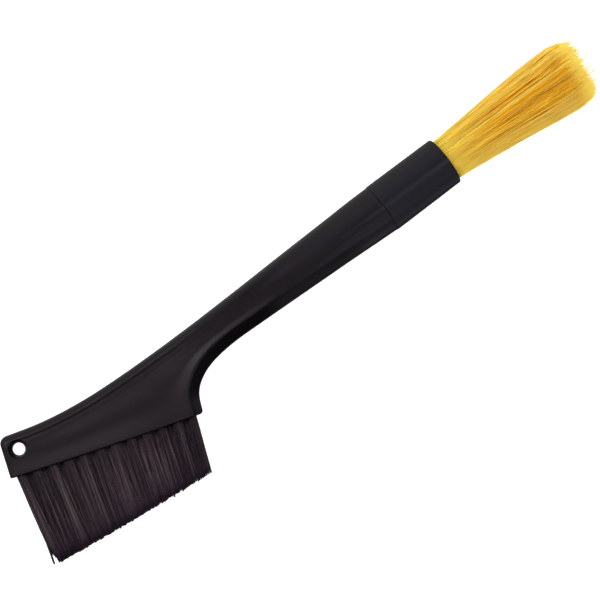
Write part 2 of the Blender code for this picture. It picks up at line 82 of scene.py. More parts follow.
SPINE = [(-163.9, 16.7), (-154.2, 13.9), (-144.0, 11.75), (-132.0, 10.15), (-118.0, 9.2), (-102.0, 8.7),
         (-86.0, 8.55), (-64.0, 8.8), (-40.0, 9.3), (-20.0, 9.65), (-8.0, 9.9), (0.0, HANDLE_END_R)]
BELLY = [(-99.65, -17.7), (-98.3, -14.95), (-96.4, -12.6), (-93.9, -10.7), (-90.9, -9.15), (-87.4, -8.0),
         (-83.4, -7.25), (-78.0, -6.75), (-73.0, -6.65), (-60.0, -7.1), (-40.0, -7.95), (-20.0, -8.85),
         (-8.0, -9.5), (0.0, -HANDLE_END_R)]
TOE_TOP = (-167.95, 18.1)
TOE_BOTTOM = (-173.3, 3.13)
HEEL = (-100.95, -20.9)
TOE_TOP_R = 3.0
TOE_BOTTOM_R = 0.8
HEEL_R = 1.4
UNDERSIDE_BOW = 0.4

FLANK = [(-178.0, 3.45), (-150.0, 3.5), (-130.0, 3.7), (-115.0, 4.0), (-104.0, 4.5), (-95.0, 5.2), (-85.0, 5.9),
         (-72.0, 6.5), (-55.0, 7.2), (-35.0, 8.3), (-15.0, 9.4), (0.0, HANDLE_END_R)]
BEAD_RIDGE = 2.6
BEAD_FOOT = [(-170.0, 3.5), (-155.0, 3.6), (-135.0, 3.9), (-110.0, 4.2), (-95.0, 4.6), (-85.0, 4.8), (-70.0, 5.0),
             (-57.0, 5.2), (-42.0, 5.6), (0.0, 6.5)]
BEAD_HEIGHT = [(-172.0, 0.0), (-167.0, 0.06), (-158.0, 0.16), (-110.0, 0.20), (-80.0, 0.21), (-60.0, 0.18), (-35.0, 0.0),
               (0.0, 0.0)]
DISH_DEPTH = [(-170.0, 0.08), (-150.0, 0.32), (-125.0, 0.52), (-105.0, 0.5), (-85.0, 0.35), (-60.0, 0.25),
              (-30.0, 0.0), (0.0, 0.0)]
CHAMFER = [(-103.0, 3.7), (-92.0, 4.3), (-85.0, 4.4), (-70.0, 4.2), (-50.0, 4.3), (0.0, 4.7)]
NOSE_R = 0.9
NOSE_H = 1.1
TOE_EDGE_R = 1.5
UNDERSIDE_EDGE_R = 0.6
ROUND_FROM, ROUND_TO = -66.0, -6.0

HOLE_AT = (-164.35, 10.3)
HOLE_R = 2.4

TUFTS = 23
TUFT_FIRST_U = 3.57
TUFT_PITCH = 3.12
ROW_Z = 1.35
TUFT_R = 1.0
TUFT_HOLE_R = TUFT_R + GAP
TUFT_HOLE_DEPTH = 5.5
LEAN_TOE = 0.0787
LEAN_HEEL = -0.0577
TRIM_TOE = 36.35
TRIM_SLOPE = -0.206
ANCHOR_LENGTH = 2.9
ANCHOR_THICK = 0.4

BUNDLE = [(18.6, -8.3, 8.3), (30.3, -8.3, 8.3), (33.0, -8.75, 8.65), (40.0, -9.4, 9.1), (50.0, -10.6, 9.7),
          (60.0, -12.0, 10.25), (70.0, -13.5, 10.8), (80.0, -14.9, 11.1), (86.0, -15.45, 11.3), (98.0, -16.2, 11.6)]
BUNDLE_FLATNESS = 0.94


# ---------------------------------------------------------------- curves and fields
def smooth_curve(points, step=0.4):
    """A centripetal Catmull-Rom curve through the points, as a dense polyline."""
    p = [np.array(q, float) for q in points]
    p = [2 * p[0] - p[1]] + p + [2 * p[-1] - p[-2]]
    out = []
    for a, b, c, d in zip(p, p[1:], p[2:], p[3:]):
        t0 = 0.0
        t1 = t0 + math.sqrt(np.linalg.norm(b - a))
        t2 = t1 + math.sqrt(np.linalg.norm(c - b))
        t3 = t2 + math.sqrt(np.linalg.norm(d - c))
        n = max(2, int(np.linalg.norm(c - b) / step))
        for t in np.linspace(t1, t2, n, endpoint=False):
            a1 = (t1 - t) / (t1 - t0) * a + (t - t0) / (t1 - t0) * b
            a2 = (t2 - t) / (t2 - t1) * b + (t - t1) / (t2 - t1) * c
            a3 = (t3 - t) / (t3 - t2) * c + (t - t2) / (t3 - t2) * d
            b1 = (t2 - t) / (t2 - t0) * a1 + (t - t0) / (t2 - t0) * a2
            b2 = (t3 - t) / (t3 - t1) * a2 + (t - t1) / (t3 - t1) * a3
            out.append((t2 - t) / (t2 - t1) * b1 + (t - t1) / (t2 - t1) * b2)
    out.append(p[-2])
    return np.array(out)


def fillet(before, corner, after, radius, n=16):
    """Points of the arc that rounds a corner, from its first tangent point to its second."""
    c = np.array(corner, float)
    a = np.array(before, float) - c
    b = np.array(after, float) - c
    a /= np.linalg.norm(a)
    b /= np.linalg.norm(b)
    half = math.acos(float(a @ b)) / 2
    bis = (a + b) / np.linalg.norm(a + b)
    centre = c + bis * radius / math.sin(half)
    start = c + a * radius / math.tan(half) - centre
    end = c + b * radius / math.tan(half) - centre
    a0 = math.atan2(start[1], start[0])
    a1 = math.atan2(end[1], end[0])
    turn = (a1 - a0 + math.pi) % (2 * math.pi) - math.pi
    return [centre + radius * np.array((math.cos(a0 + turn * k / n), math.sin(a0 + turn * k / n)))
            for k in range(n + 1)]


def table(x, rows):
    """A smooth monotone curve through the rows of a table."""
    xs = np.array([r[0] for r in rows], float)
    ys = np.array([r[1] for r in rows], float)
    h = np.diff(xs)
    d = np.diff(ys) / h
    m = np.zeros_like(ys)
    for i in range(1, len(xs) - 1):
        if d[i - 1] * d[i] > 0:
            w1, w2 = 2 * h[i] + h[i - 1], h[i] + 2 * h[i - 1]
            m[i] = (w1 + w2) / (w1 / d[i - 1] + w2 / d[i])
    m[0], m[-1] = d[0], d[-1]
    x = np.clip(np.asarray(x, float), xs[0], xs[-1])
    i = np.clip(np.searchsorted(xs, x, side="right") - 1, 0, len(xs) - 2)
    t = (x - xs[i]) / h[i]
    return ((2 * t**3 - 3 * t**2 + 1) * ys[i] + (t**3 - 2 * t**2 + t) * h[i] * m[i]
            + (3 * t**2 - 2 * t**3) * ys[i + 1] + (t**3 - t**2) * h[i] * m[i + 1])


def ramp(x, a, b):
    t = np.clip((np.asarray(x, float) - a) / (b - a), 0.0, 1.0)
    return t * t * (3 - 2 * t)


def quarter(d, r):
    """Height of a quarter ellipse, 0 at the edge and 1 from the distance r on."""
    return np.sqrt(np.clip(1 - (1 - np.clip(np.asarray(d, float) / r, 0, 1)) ** 2, 0, 1))


def soft_min(a, b, k):
    h = np.clip(0.5 + 0.5 * (b - a) / k, 0, 1)
    return b * (1 - h) + a * h - k * h * (1 - h)


def nearest(points, line):
    """Distance of each point to a polyline, and the place along it as an index with a fraction."""
    a, b = line[:-1], line[1:]
    ab = b - a
    t = np.clip(np.einsum("pkj,kj->pk", points[:, None, :] - a[None], ab) / np.einsum("kj,kj->k", ab, ab), 0, 1)
    away = np.linalg.norm(points[:, None, :] - (a[None] + t[:, :, None] * ab[None]), axis=2)
    k = away.argmin(axis=1)
    rows = np.arange(len(points))
    return away[rows, k], k + t[rows, k]


def distance(points, line):
    return nearest(points, line)[0]


# ---------------------------------------------------------------- outline of the handle
toe_top, toe_bottom, heel = (np.array(p, float) for p in (TOE_TOP, TOE_BOTTOM, HEEL))
U = (heel - toe_bottom) / np.linalg.norm(heel - toe_bottom)
V = np.array((U[1], -U[0]))
ROW_LENGTH = float(np.linalg.norm(heel - toe_bottom))
toe_in = toe_top - toe_bottom
toe_in = np.array((toe_in[1], -toe_in[0])) / np.linalg.norm(toe_in)

spine = smooth_curve(SPINE)
belly = smooth_curve(BELLY)
bow = [toe_bottom + U * ROW_LENGTH * t + V * UNDERSIDE_BOW * 4 * t * (1 - t) for t in np.linspace(0, 1, 61)]
toe_top_arc = fillet(toe_bottom, toe_top, spine[0], TOE_TOP_R)
toe_bottom_arc = fillet(toe_top, toe_bottom, bow[4], TOE_BOTTOM_R)
heel_arc = fillet(bow[-5], heel, belly[0], HEEL_R)

upper = np.array(toe_top_arc + list(spine))
along_bow = [p for p in bow if (p - toe_bottom_arc[-1]) @ U > 0.3 and (heel_arc[0] - p) @ U > 0.3]
lower = np.array(toe_bottom_arc + along_bow + heel_arc + list(belly))

spine_edge = np.array(toe_top_arc + list(smooth_curve(SPINE, 0.9)))
ARC_STEPS = len(toe_top_arc) - 1
under_line = np.vstack([toe_bottom - U * 5, np.array(bow)[::2], heel + U * 5])
neck_line = np.vstack([belly[0] + (heel - belly[0]) * 3, smooth_curve(BELLY, 0.7)])


def round_shape(p):
    """The turned grip: its half thickness over a point, and how far the handle is turned there."""
    x, y = p[:, 0], p[:, 1]
    top_y = np.interp(x, spine[:, 0], spine[:, 1])
    low_y = np.interp(x, belly[2:, 0], belly[2:, 1])
    r, c = (top_y - low_y) / 2, (top_y + low_y) / 2
    return np.sqrt(np.clip(r * r - (y - c) ** 2, 0, None)), ramp(x, ROUND_FROM, ROUND_TO)


def flat_shape(p):
    """Half thickness of the moulded head and neck over a point of the outline."""
    x, y = p[:, 0], p[:, 1]
    xi = x + 0.35 * np.clip(y, -25, 10) * ramp(-x, 70, 100)
    flank = table(xi, FLANK)
    ds, at = nearest(p, spine_edge)
    du = distance(p, under_line)
    dn = distance(p, neck_line)
    dl = np.clip((p - toe_bottom) @ toe_in, 0, None)
    foot, lift, width = table(x, BEAD_FOOT), table(x, BEAD_HEIGHT), table(x, CHAMFER)
    edge = np.clip(np.minimum(du - 0.8, dn - width), 0, None)
    w = (ds - foot - 0.8) / np.maximum(ds - foot - 0.8 + edge, 1e-3)
    dish = table(x, DISH_DEPTH) * np.sin(math.pi * np.clip(w, 0, 1)) ** 1.3
    # the edge grows from the small rounding of the toe face into the bead of the spine round the corner
    grow = ramp(at / ARC_STEPS, 0.0, 1.0)
    top = flank + lift
    crease = flank - 0.35 * lift
    rim_r = TOE_EDGE_R + (BEAD_RIDGE - TOE_EDGE_R) * grow
    fall = TOE_EDGE_R + (top - TOE_EDGE_R) * grow
    bead = top - fall * (1 - quarter(ds, rim_r))
    bead = np.where(ds > BEAD_RIDGE, top + (crease - top) * ramp(ds, BEAD_RIDGE, foot), bead)
    bead = np.where(ds > foot, crease + (flank - crease) * ramp(ds, foot, foot + 1.6), bead)
    z = bead - dish
    z = soft_min(z, NOSE_H * quarter(dn, NOSE_R) + (flank - NOSE_H) / width * dn + 0.12, 0.45)
    z = np.minimum(z, flank + lift * ramp(du, UNDERSIDE_EDGE_R, 4.0)
                   - UNDERSIDE_EDGE_R * (1 - quarter(du, UNDERSIDE_EDGE_R)))
    z = np.minimum(z, flank + lift * ramp(dl, TOE_EDGE_R, 4.5) - TOE_EDGE_R * (1 - quarter(dl, TOE_EDGE_R)))
    return z


def arc_length(line):
    return np.concatenate([[0], np.cumsum(np.linalg.norm(np.diff(line, axis=0), axis=1))])


RUN_UP, RUN_LOW = arc_length(upper), arc_length(lower)


def at_length(line, run, s):
    return np.array([np.interp(s, run, line[:, 0]), np.interp(s, run, line[:, 1])])


def length_at(line, run, point):
    return float(run[np.linalg.norm(line - np.array(point), axis=1).argmin()])


def stations(spacing):
    """Pairs of points, one on the spine side and one on the belly side, that span the sections of the handle."""
    pairs = []
    depth_up = (upper - toe_bottom) @ toe_in
    depth_low = (lower - toe_bottom) @ toe_in
    n_up = len(toe_top_arc) + 6
    n_low = len(toe_bottom_arc) + 8
    for d in (0.0, 0.02, 0.07, 0.16, 0.3, 0.5, 0.75, 1.05, 1.5, 2.0):
        pairs.append((np.array([np.interp(d, depth_up[:n_up], upper[:n_up, j]) for j in (0, 1)]),
                      np.array([np.interp(d, depth_low[:n_low], lower[:n_low, j]) for j in (0, 1)])))
    ties = [(pairs[-1][0], pairs[-1][1])]
    for up_x, low in ((-152, toe_bottom + U * ROW_LENGTH * 0.26), (-139, toe_bottom + U * ROW_LENGTH * 0.5),
                      (-126, toe_bottom + U * ROW_LENGTH * 0.75), (-114, heel_arc[0]), (-112, heel_arc[-1]),
                      (-107.5, BELLY[1]), (-104, BELLY[2]), (-100, BELLY[3]), (-95.5, BELLY[4]), (-91, BELLY[5]),
                      (-86, BELLY[6]), (-79.5, BELLY[7]), (-60, BELLY[9]), (-40, BELLY[10]), (-20, BELLY[11]),
                      (-8, BELLY[12])):
        ties.append(((up_x, float(np.interp(up_x, spine[:, 0], spine[:, 1]))), low))
    s_up = [length_at(upper, RUN_UP, t[0]) for t in ties]
    s_low = [length_at(lower, RUN_LOW, t[1]) for t in ties]
    s_up[0] = float(np.interp(2.0, depth_up[:n_up], RUN_UP[:n_up]))
    s_low[0] = float(np.interp(2.0, depth_low[:n_low], RUN_LOW[:n_low]))
    marks_up, marks_low = [s_up[0]], [s_low[0]]
    for i in range(len(ties) - 1):
        n = max(1, round(max(s_up[i + 1] - s_up[i], (s_low[i + 1] - s_low[i])) / spacing))
        if i == 4:
            n = 9  # round the heel corner
        for k in range(1, n + 1):
            marks_up.append(s_up[i] + (s_up[i + 1] - s_up[i]) * k / n)
            marks_low.append(s_low[i] + (s_low[i + 1] - s_low[i]) * k / n)
    # even out the steps along the upper edge, so that the sections turn gently
    marks_up = np.array(marks_up)
    for _ in range(25):
        marks_up[1:-1] = (marks_up[:-2] + 2 * marks_up[1:-1] + marks_up[2:]) / 4
    pairs += [(at_length(upper, RUN_UP, a), at_length(lower, RUN_LOW, b))
              for a, b in zip(marks_up[1:], marks_low[1:])]
    for x in (-6.8, -5.6, -4.4, -3.2, -2.2, -1.3, -0.7, -SEAM_GAP / 2 - SEAM_CHAMFER):
        pairs.append((np.array((x, np.interp(x, spine[:, 0], spine[:, 1]))),
                      np.array((x, np.interp(x, belly[2:, 0], belly[2:, 1])))))
    return pairs


NEAR_SPINE = (0.0, 0.03, 0.1, 0.22, 0.4, 0.62, 0.9, 1.2, 1.55, 1.95, 2.3, 2.6, 2.85, 3.1, 3.35, 3.6, 3.85, 4.1, 4.4, 4.8,
              5.3, 5.9, 6.6)
NEAR_BELLY = (6.4, 5.8, 5.3, 4.95, 4.6, 4.2, 3.7, 3.1, 2.4, 1.8, 1.3, 0.95, 0.7, 0.5, 0.34, 0.2, 0.1, 0.03, 0.0)
WALL = (0.75, 0.5, 0.25)
MIDDLE = 22


def section(top, low):
    """Upper half of one section as (x, y, z) points, from the spine's parting line to the belly's."""
    lam = np.linspace(0, 1, 201)
    p = top[None] + (low - top)[None] * lam[:, None]
    ds = np.maximum.accumulate(distance(p, spine_edge))
    de = np.minimum(distance(p, under_line), distance(p, neck_line))
    de = np.maximum.accumulate(de[::-1])[::-1]
    reach = (de[0] - de[-1]) if de[0] - de[-1] < 14.0 else 14.0
    squeeze = min(1.0, reach / 14.0, (ds[-1] - ds[0]) / 14.0)
    first = [float(np.interp(o * squeeze, ds - ds[0], lam)) for o in NEAR_SPINE]
    last = [float(np.interp(-o * squeeze, -(de - de[-1]), lam)) for o in NEAR_BELLY]
    a, b = first[-1], last[0]
    inner = [a + (b - a) * (k + 1) / (MIDDLE + 1) for k in range(MIDDLE)]
    own = np.array(first + inner + last + [1.0] * len(WALL))
    share = np.array([1.0] * (len(own) - len(WALL)) + list(WALL))
    n = len(own)
    even = np.array([(1 - math.cos(math.pi * (k + 1) / (n + 1))) / 2 for k in range(n)])
    k = float(ramp((top[0] + low[0]) / 2, ROUND_FROM, ROUND_TO))
    mixed = own * (1 - k) + even * k
    q = top[None] + (low - top)[None] * mixed[:, None]
    turned_z, turned_share = round_shape(q)
    z = flat_shape(q) * share * (1 - turned_share) + turned_z * turned_share
    z[0] = max(z[0], 0.04)
    z = np.maximum(z, 0.03)
    return np.vstack([[top[0], top[1], 0.0], np.column_stack([q, z]), [low[0], low[1], 0.0]])


# ---------------------------------------------------------------- meshes
def collection(name):
    c = bpy.data.collections.new(name)
    bpy.context.scene.collection.children.link(c)
    return c


looks = collection("looks")
studio = collection("studio")
tools = collection("cutters")


def grid_mesh(name, rings, closed_ends=True):
    """A body through rings that all have the same number of points, in brush millimetres."""
    rings = np.asarray(rings, float)
    count, around = rings.shape[:2]
    verts = to_row(rings.reshape(-1, 3))
    i = np.arange(count - 1)[:, None] * around
    j = np.arange(around)[None]
    k = (j + 1) % around
    quads = np.stack([i + j, i + k, i + around + k, i + around + j], axis=-1).reshape(-1, 4)
    faces = [tuple(q) for q in quads.tolist()]
    if closed_ends:
        faces.append(tuple(range(around - 1, -1, -1)))
        faces.append(tuple(range((count - 1) * around, count * around)))
    mesh = bpy.data.meshes.new(name)
    mesh.from_pydata(verts.tolist(), [], faces)
    bm = bmesh.new()
    bm.from_mesh(mesh)
    bmesh.ops.remove_doubles(bm, verts=bm.verts, dist=2e-6)
    bmesh.ops.dissolve_degenerate(bm, edges=bm.edges, dist=1e-6)
    bmesh.ops.recalc_face_normals(bm, faces=bm.faces)
    bm.to_mesh(mesh)
    bm.free()
    return mesh


def piece(name, mesh, mat, slot, *nodes, where=None):
    obj = bpy.data.objects.new(name, mesh)
    (where or looks).objects.link(obj)
    obj.data.materials.clear()
    obj.data.materials.append(mat)
    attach(obj, "root")
    if nodes:
        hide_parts(*nodes)
    return obj


def smooth(obj, degrees=35):
    obj.data.shade_smooth()
    obj.data.set_sharp_from_angle(angle=math.radians(degrees))


def lathe(name, profile, around):
    """A solid of revolution about x from a closed profile of (x, r)."""
    rings = []
    for x, r in profile:
        a = 2 * math.pi * np.arange(around) / around
        rings.append(np.column_stack([np.full(around, x), r * np.cos(a), r * np.sin(a)]))
    return grid_mesh(name, rings, closed_ends=True)


def corner(points, radius, steps=4):
    """A profile with each of its inner corners rounded, where the neighbours leave room."""
    out = [points[0]]
    radii = radius if isinstance(radius, tuple) else (radius,) * len(points)
    for a, b, c, radius in zip(points, points[1:], points[2:], radii):
        a, b, c = (np.array(p, float) for p in (a, b, c))
        r = min(radius, np.linalg.norm(b - a) / 2.2, np.linalg.norm(c - b) / 2.2)
        p = b + (a - b) / np.linalg.norm(a - b) * r
        q = b + (c - b) / np.linalg.norm(c - b) * r
        for k in range(steps + 1):
            t = k / steps
            out.append(tuple((1 - t) ** 2 * p + 2 * t * (1 - t) * b + t * t * q))
    out.append(points[-1])
    return out


# ---------------------------------------------------------------- materials
class Nodes:
    """Short hand for building a node tree."""

    def __init__(self, tree):
        self.tree = tree

    def add(self, kind, **values):
        node = self.tree.nodes.new(kind)
        for key, value in values.items():
            setattr(node, key, value)
        return node

    def link(self, a, b):
        self.tree.links.new(a, b)

    def math(self, operation, a, b=None, clamp=False):
        node = self.add("ShaderNodeMath", operation=operation, use_clamp=clamp)
        for socket, value in zip(node.inputs, (a, b)):
            if value is None:
                continue
            if isinstance(value, (int, float)):
                socket.default_value = value
            else:
                self.link(value, socket)
        return node.outputs[0]

    def mix(self, factor, a, b, blend="MIX"):
        node = self.add("ShaderNodeMix", data_type="RGBA", blend_type=blend)
        for socket, value in ((node.inputs[0], factor), (node.inputs[6], a), (node.inputs[7], b)):
            if isinstance(value, (int, float)):
                socket.default_value = value
            elif isinstance(value, tuple):
                socket.default_value = (*value, 1.0)
            else:
                self.link(value, socket)
        return node.outputs[2]

    def ramp(self, factor, stops):
        node = self.add("ShaderNodeValToRGB")
        node.color_ramp.interpolation = "EASE"
        while len(node.color_ramp.elements) < len(stops):
            node.color_ramp.elements.new(0.5)
        for element, (at, colour) in zip(node.color_ramp.elements, stops):
            element.position = at
            element.color = (*colour, 1.0)
        self.link(factor, node.inputs[0])
        return node.outputs[0]

    def noise(self, vector, scale, detail=2.0, rough=0.5):
        node = self.add("ShaderNodeTexNoise")
        node.inputs["Scale"].default_value = scale
        node.inputs["Detail"].default_value = detail
        node.inputs["Roughness"].default_value = rough
        self.link(vector, node.inputs["Vector"])
        return node.outputs["Fac"]


def new_material(name, roughness=0.5, metallic=0.0, ior=1.5):
    mat = bpy.data.materials.new(name)
    mat.use_nodes = True
    shader = mat.node_tree.nodes["Principled BSDF"]
    shader.inputs["Roughness"].default_value = roughness
    shader.inputs["Metallic"].default_value = metallic
    shader.inputs["IOR"].default_value = ior
    return mat, shader, Nodes(mat.node_tree)


def moulded_plastic(name, dark, light, gloss_tint, roughness):
    """Satin moulded plastic: fine spark-eroded grain, faint flow clouds and a few hairline rub marks."""
    mat, shader, n = new_material(name, roughness)
    shader.inputs["Specular IOR Level"].default_value = 0.28
    shader.inputs["Specular Tint"].default_value = (*gloss_tint, 1.0)
    at = n.add("ShaderNodeTexCoord").outputs["Object"]
    cloud = n.noise(at, 42.0, 3.0, 0.55)
    n.link(n.mix(cloud, dark, light), shader.inputs["Base Color"])
    stretch = n.add("ShaderNodeMapping")
    stretch.inputs["Scale"].default_value = (90.0, 1400.0, 1400.0)
    n.link(at, stretch.inputs["Vector"])
    rub = n.noise(stretch.outputs[0], 1.0, 3.0, 0.6)
    rub = n.math("MULTIPLY", n.math("SUBTRACT", rub, 0.60), 5.0, clamp=True)
    rough = n.math("MULTIPLY_ADD", cloud, 0.10)
    rough.node.inputs[2].default_value = roughness - 0.05
    rough = n.math("SUBTRACT", rough, n.math("MULTIPLY", rub, 0.02))
    n.link(rough, shader.inputs["Roughness"])
    grain = n.noise(at, 5200.0, 2.0, 0.6)
    broad = n.noise(at, 900.0, 2.0, 0.5)
    height = n.math("ADD", n.math("MULTIPLY", grain, 0.6), n.math("MULTIPLY", broad, 0.5))
    bump = n.add("ShaderNodeBump")
    bump.inputs["Strength"].default_value = 0.15
    bump.inputs["Distance"].default_value = 0.00006
    n.link(height, bump.inputs["Height"])
    n.link(bump.outputs[0], shader.inputs["Normal"])
    return mat


def hair_material(name, shades, root, tip, tip_from, roughness, gloss, spread):
    """Hair whose map runs over its shades one way and from root to tip the other way."""
    mat, shader, n = new_material(name, roughness)
    shader.inputs["Specular IOR Level"].default_value = gloss
    strand = n.add("ShaderNodeUVMap", uv_map="strand")
    parts = n.add("ShaderNodeSeparateXYZ")
    n.link(strand.outputs[0], parts.inputs[0])
    colour = n.ramp(parts.outputs["X"], shades)
    stretch = n.add("ShaderNodeMapping")
    stretch.inputs["Scale"].default_value = (61.0, 5.0, 1.0)
    n.link(strand.outputs[0], stretch.inputs["Vector"])
    patchy = n.noise(stretch.outputs[0], 1.0, 2.0, 0.6)
    bright = n.math("MULTIPLY_ADD", n.math("SUBTRACT", patchy, 0.5), spread)
    bright.node.inputs[2].default_value = 1.0
    grey = n.add("ShaderNodeCombineColor")
    for socket in grey.inputs[:3]:
        n.link(bright, socket)
    colour = n.mix(1.0, colour, grey.outputs[0], "MULTIPLY")
    for towards, start, end, share in ((root, 0.5, 0.0, 0.75), (tip, tip_from, 1.0, 0.9)):
        reach = n.add("ShaderNodeMapRange", interpolation_type="SMOOTHSTEP")
        reach.inputs["From Min"].default_value = start
        reach.inputs["From Max"].default_value = end
        reach.inputs["To Max"].default_value = share
        n.link(parts.outputs["Y"], reach.inputs["Value"])
        colour = n.mix(reach.outputs[0], colour, towards)
    n.link(colour, shader.inputs["Base Color"])
    rough = n.math("MULTIPLY_ADD", patchy, 0.16)
    rough.node.inputs[2].default_value = roughness - 0.08
    n.link(rough, shader.inputs["Roughness"])
    return mat


handle_plastic = moulded_plastic("handle_plastic", (0.0015, 0.0011, 0.0013), (0.0027, 0.0020, 0.0023), (1.0, 0.85, 0.94), 0.29)
sleeve_plastic = moulded_plastic("sleeve_plastic", (0.0018, 0.0017, 0.0027), (0.0028, 0.0026, 0.0044), (0.99, 0.90, 1.0), 0.33)
GOLD = [(0.0, (0.42, 0.115, 0.002)), (0.25, (0.77, 0.310, 0.008)), (0.5, (0.93, 0.47, 0.020)),
        (0.75, (0.95, 0.575, 0.038)), (1.0, (0.94, 0.695, 0.135))]
gold_hair = hair_material("natural_bristle", GOLD, (0.98, 0.76, 0.112), (0.77, 0.64, 0.118), 0.92, 0.5, 0.08, 0.3)
wispy_hair = hair_material("natural_bristle_wisps", GOLD, (0.98, 0.76, 0.112), (0.43, 0.315, 0.15), 0.95, 0.5, 0.08, 0.3)
# The nylon's root colour is darker than its hair and reaches half way down the filaments: painted shade near the
# head.
dark_hair = hair_material("nylon_bristle",
                          [(0.0, (0.012, 0.008, 0.012)), (0.4, (0.042, 0.027, 0.035)), (0.75, (0.072, 0.048, 0.057)),
                           (1.0, (0.135, 0.093, 0.098))],
                          (0.029, 0.020, 0.025), (0.036, 0.021, 0.034), 0.6, 0.45, 0.18, 1.3)


def resin():
    mat, shader, n = new_material("potting_resin", 0.28)
    at = n.add("ShaderNodeTexCoord").outputs["Object"]
    cloud = n.noise(at, 260.0, 4.0, 0.6)
    n.link(n.mix(cloud, (0.16, 0.075, 0.015), (0.34, 0.19, 0.06)), shader.inputs["Base Color"])
    return mat


def staple_steel():
    mat, shader, n = new_material("staple_steel", 0.35, metallic=1.0)
    at = n.add("ShaderNodeTexCoord").outputs["Object"]
    stretch = n.add("ShaderNodeMapping")
    stretch.inputs["Scale"].default_value = (400.0, 9000.0, 9000.0)
    n.link(at, stretch.inputs["Vector"])
    drawn = n.noise(stretch.outputs[0], 1.0, 2.0, 0.5)
    n.link(n.mix(drawn, (0.42, 0.42, 0.43), (0.62, 0.62, 0.63)), shader.inputs["Base Color"])
    rough = n.math("MULTIPLY_ADD", drawn, 0.2)
    rough.node.inputs[2].default_value = 0.25
    n.link(rough, shader.inputs["Roughness"])
    return mat


# ---------------------------------------------------------------- handle
rings = []
for top, low in stations(0.95):
    half = section(top, low)
    rings.append(np.vstack([half, half[-2:0:-1] * (1, 1, -1)]))
end = rings[-1]


def end_ring(x, scale):
    return np.column_stack([np.full(len(end), x), end[:, 1] * scale, end[:, 2] * scale])


full = HANDLE_END_R
for k in range(1, 5):  # rounded edge at the joint
    a = math.radians(90) * k / 4
    rings.append(end_ring(-SEAM_GAP / 2 - SEAM_CHAMFER * (1 - math.sin(a)), (full - SEAM_CHAMFER * (1 - math.cos(a))) / full))
rings += [end_ring(-SEAM_GAP / 2, (SPIGOT_R + 0.8) / full), end_ring(-SEAM_GAP / 2, SPIGOT_R / full),
          end_ring(SPIGOT_LENGTH - 0.5, SPIGOT_R / full), end_ring(SPIGOT_LENGTH, (SPIGOT_R - 0.5) / full)]
handle_mesh = grid_mesh("handle", rings)


def on_row(u, v, z):
    p = toe_bottom + U * u + V * v
    return (float(p[0]), float(p[1]), z)


def tuft_u(i):
    return TUFT_FIRST_U + TUFT_PITCH * i


def tuft_z(i):
    return ROW_Z if i % 2 == 0 else -ROW_Z


def tuft_name(i):
    return f"front_{i // 2 + 1:02d}" if i % 2 == 0 else f"rear_{i // 2 + 1:02d}"


cutter_meshes = []
rings = []
for k in range(49):  # hang hole, drawn in from both faces to a waist, with softened mouths
    z = 6.0 - 12.0 * k / 48
    r = HOLE_R + 0.95 * max(0.0, (abs(z) - 0.5) / 3.0) + 0.45 * min(1.0, max(0.0, (abs(z) - 2.9) / 0.5)) ** 2.2
    a = 2 * math.pi * np.arange(72) / 72
    rings.append(np.column_stack([HOLE_AT[0] + r * np.cos(a), HOLE_AT[1] + r * np.sin(a), np.full(72, z)]))
cutter_meshes.append(grid_mesh("hang_hole", rings))
groove_half = ANCHOR_LENGTH / 2 + GAP
groove_thick = ANCHOR_THICK / 2 + GAP
for i in range(TUFTS):
    u, z = tuft_u(i), tuft_z(i)
    outline = []
    for side in (1, -1):
        a0 = math.asin(groove_thick / TUFT_HOLE_R)
        outline.append((side * groove_half, -side * groove_thick))
        outline.append((side * groove_half, side * groove_thick))
        for k in range(12):
            a = a0 + (math.pi - 2 * a0) * k / 11
            outline.append((side * TUFT_HOLE_R * math.cos(a), side * TUFT_HOLE_R * math.sin(a)))
    cutter_meshes.append(grid_mesh("tuft_hole_" + tuft_name(i),
                                   [[on_row(u + a, v, z + b) for a, b in outline] for v in (2.5, -TUFT_HOLE_DEPTH)]))
bm = bmesh.new()
for m in cutter_meshes:
    bm.from_mesh(m)
cutter_mesh = bpy.data.meshes.new("holes")
bm.to_mesh(cutter_mesh)
bm.free()
holes = bpy.data.objects.new("holes", cutter_mesh)
tools.objects.link(holes)
raw = bpy.data.objects.new("handle_raw", handle_mesh)
tools.objects.link(raw)
cut = raw.modifiers.new("holes", "BOOLEAN")
cut.object = holes
cut.operation = "DIFFERENCE"
cut.solver = "EXACT"
bpy.context.view_layer.update()
drilled = bpy.data.meshes.new_from_object(raw.evaluated_get(bpy.context.evaluated_depsgraph_get()))
bpy.data.objects.remove(raw)
bpy.data.objects.remove(holes)
handle = piece("handle_body_moulded", drilled, handle_plastic, "handle_plastic", "handle_body")
smooth(handle, 32)

# ---------------------------------------------------------------- sleeve
L = FERRULE_LENGTH
outer = corner([(FERRULE_FLOOR_X, FERRULE_BORE_R), (L, FERRULE_BORE_R), (L, FERRULE_R_MOUTH),
                (L * 0.5, (FERRULE_R_MOUTH + FERRULE_R_SEAM) / 2), (SEAM_GAP / 2, FERRULE_R_SEAM), (SEAM_GAP / 2, SOCKET_R),
                (SOCKET_DEPTH, SOCKET_R)], (0.34, 0.34, 0.34, 0.16, 0.1), 6)
profile = [(FERRULE_FLOOR_X, 0.5)] + outer + [(SOCKET_DEPTH, 0.5)]
fine = [profile[0]]
for a, b in zip(profile, profile[1:]):  # no face longer than about 1.5 mm, so that its shading stays even
    n = max(1, int(math.dist(a, b) / 1.5))
    fine += [(a[0] + (b[0] - a[0]) * k / n, a[1] + (b[1] - a[1]) * k / n) for k in range(1, n + 1)]
ferrule = piece("ferrule_moulded", lathe("ferrule", fine, 128), sleeve_plastic, "sleeve_plastic", "ferrule")
smooth(ferrule, 40)


# ---------------------------------------------------------------- hair
SHADES = 64


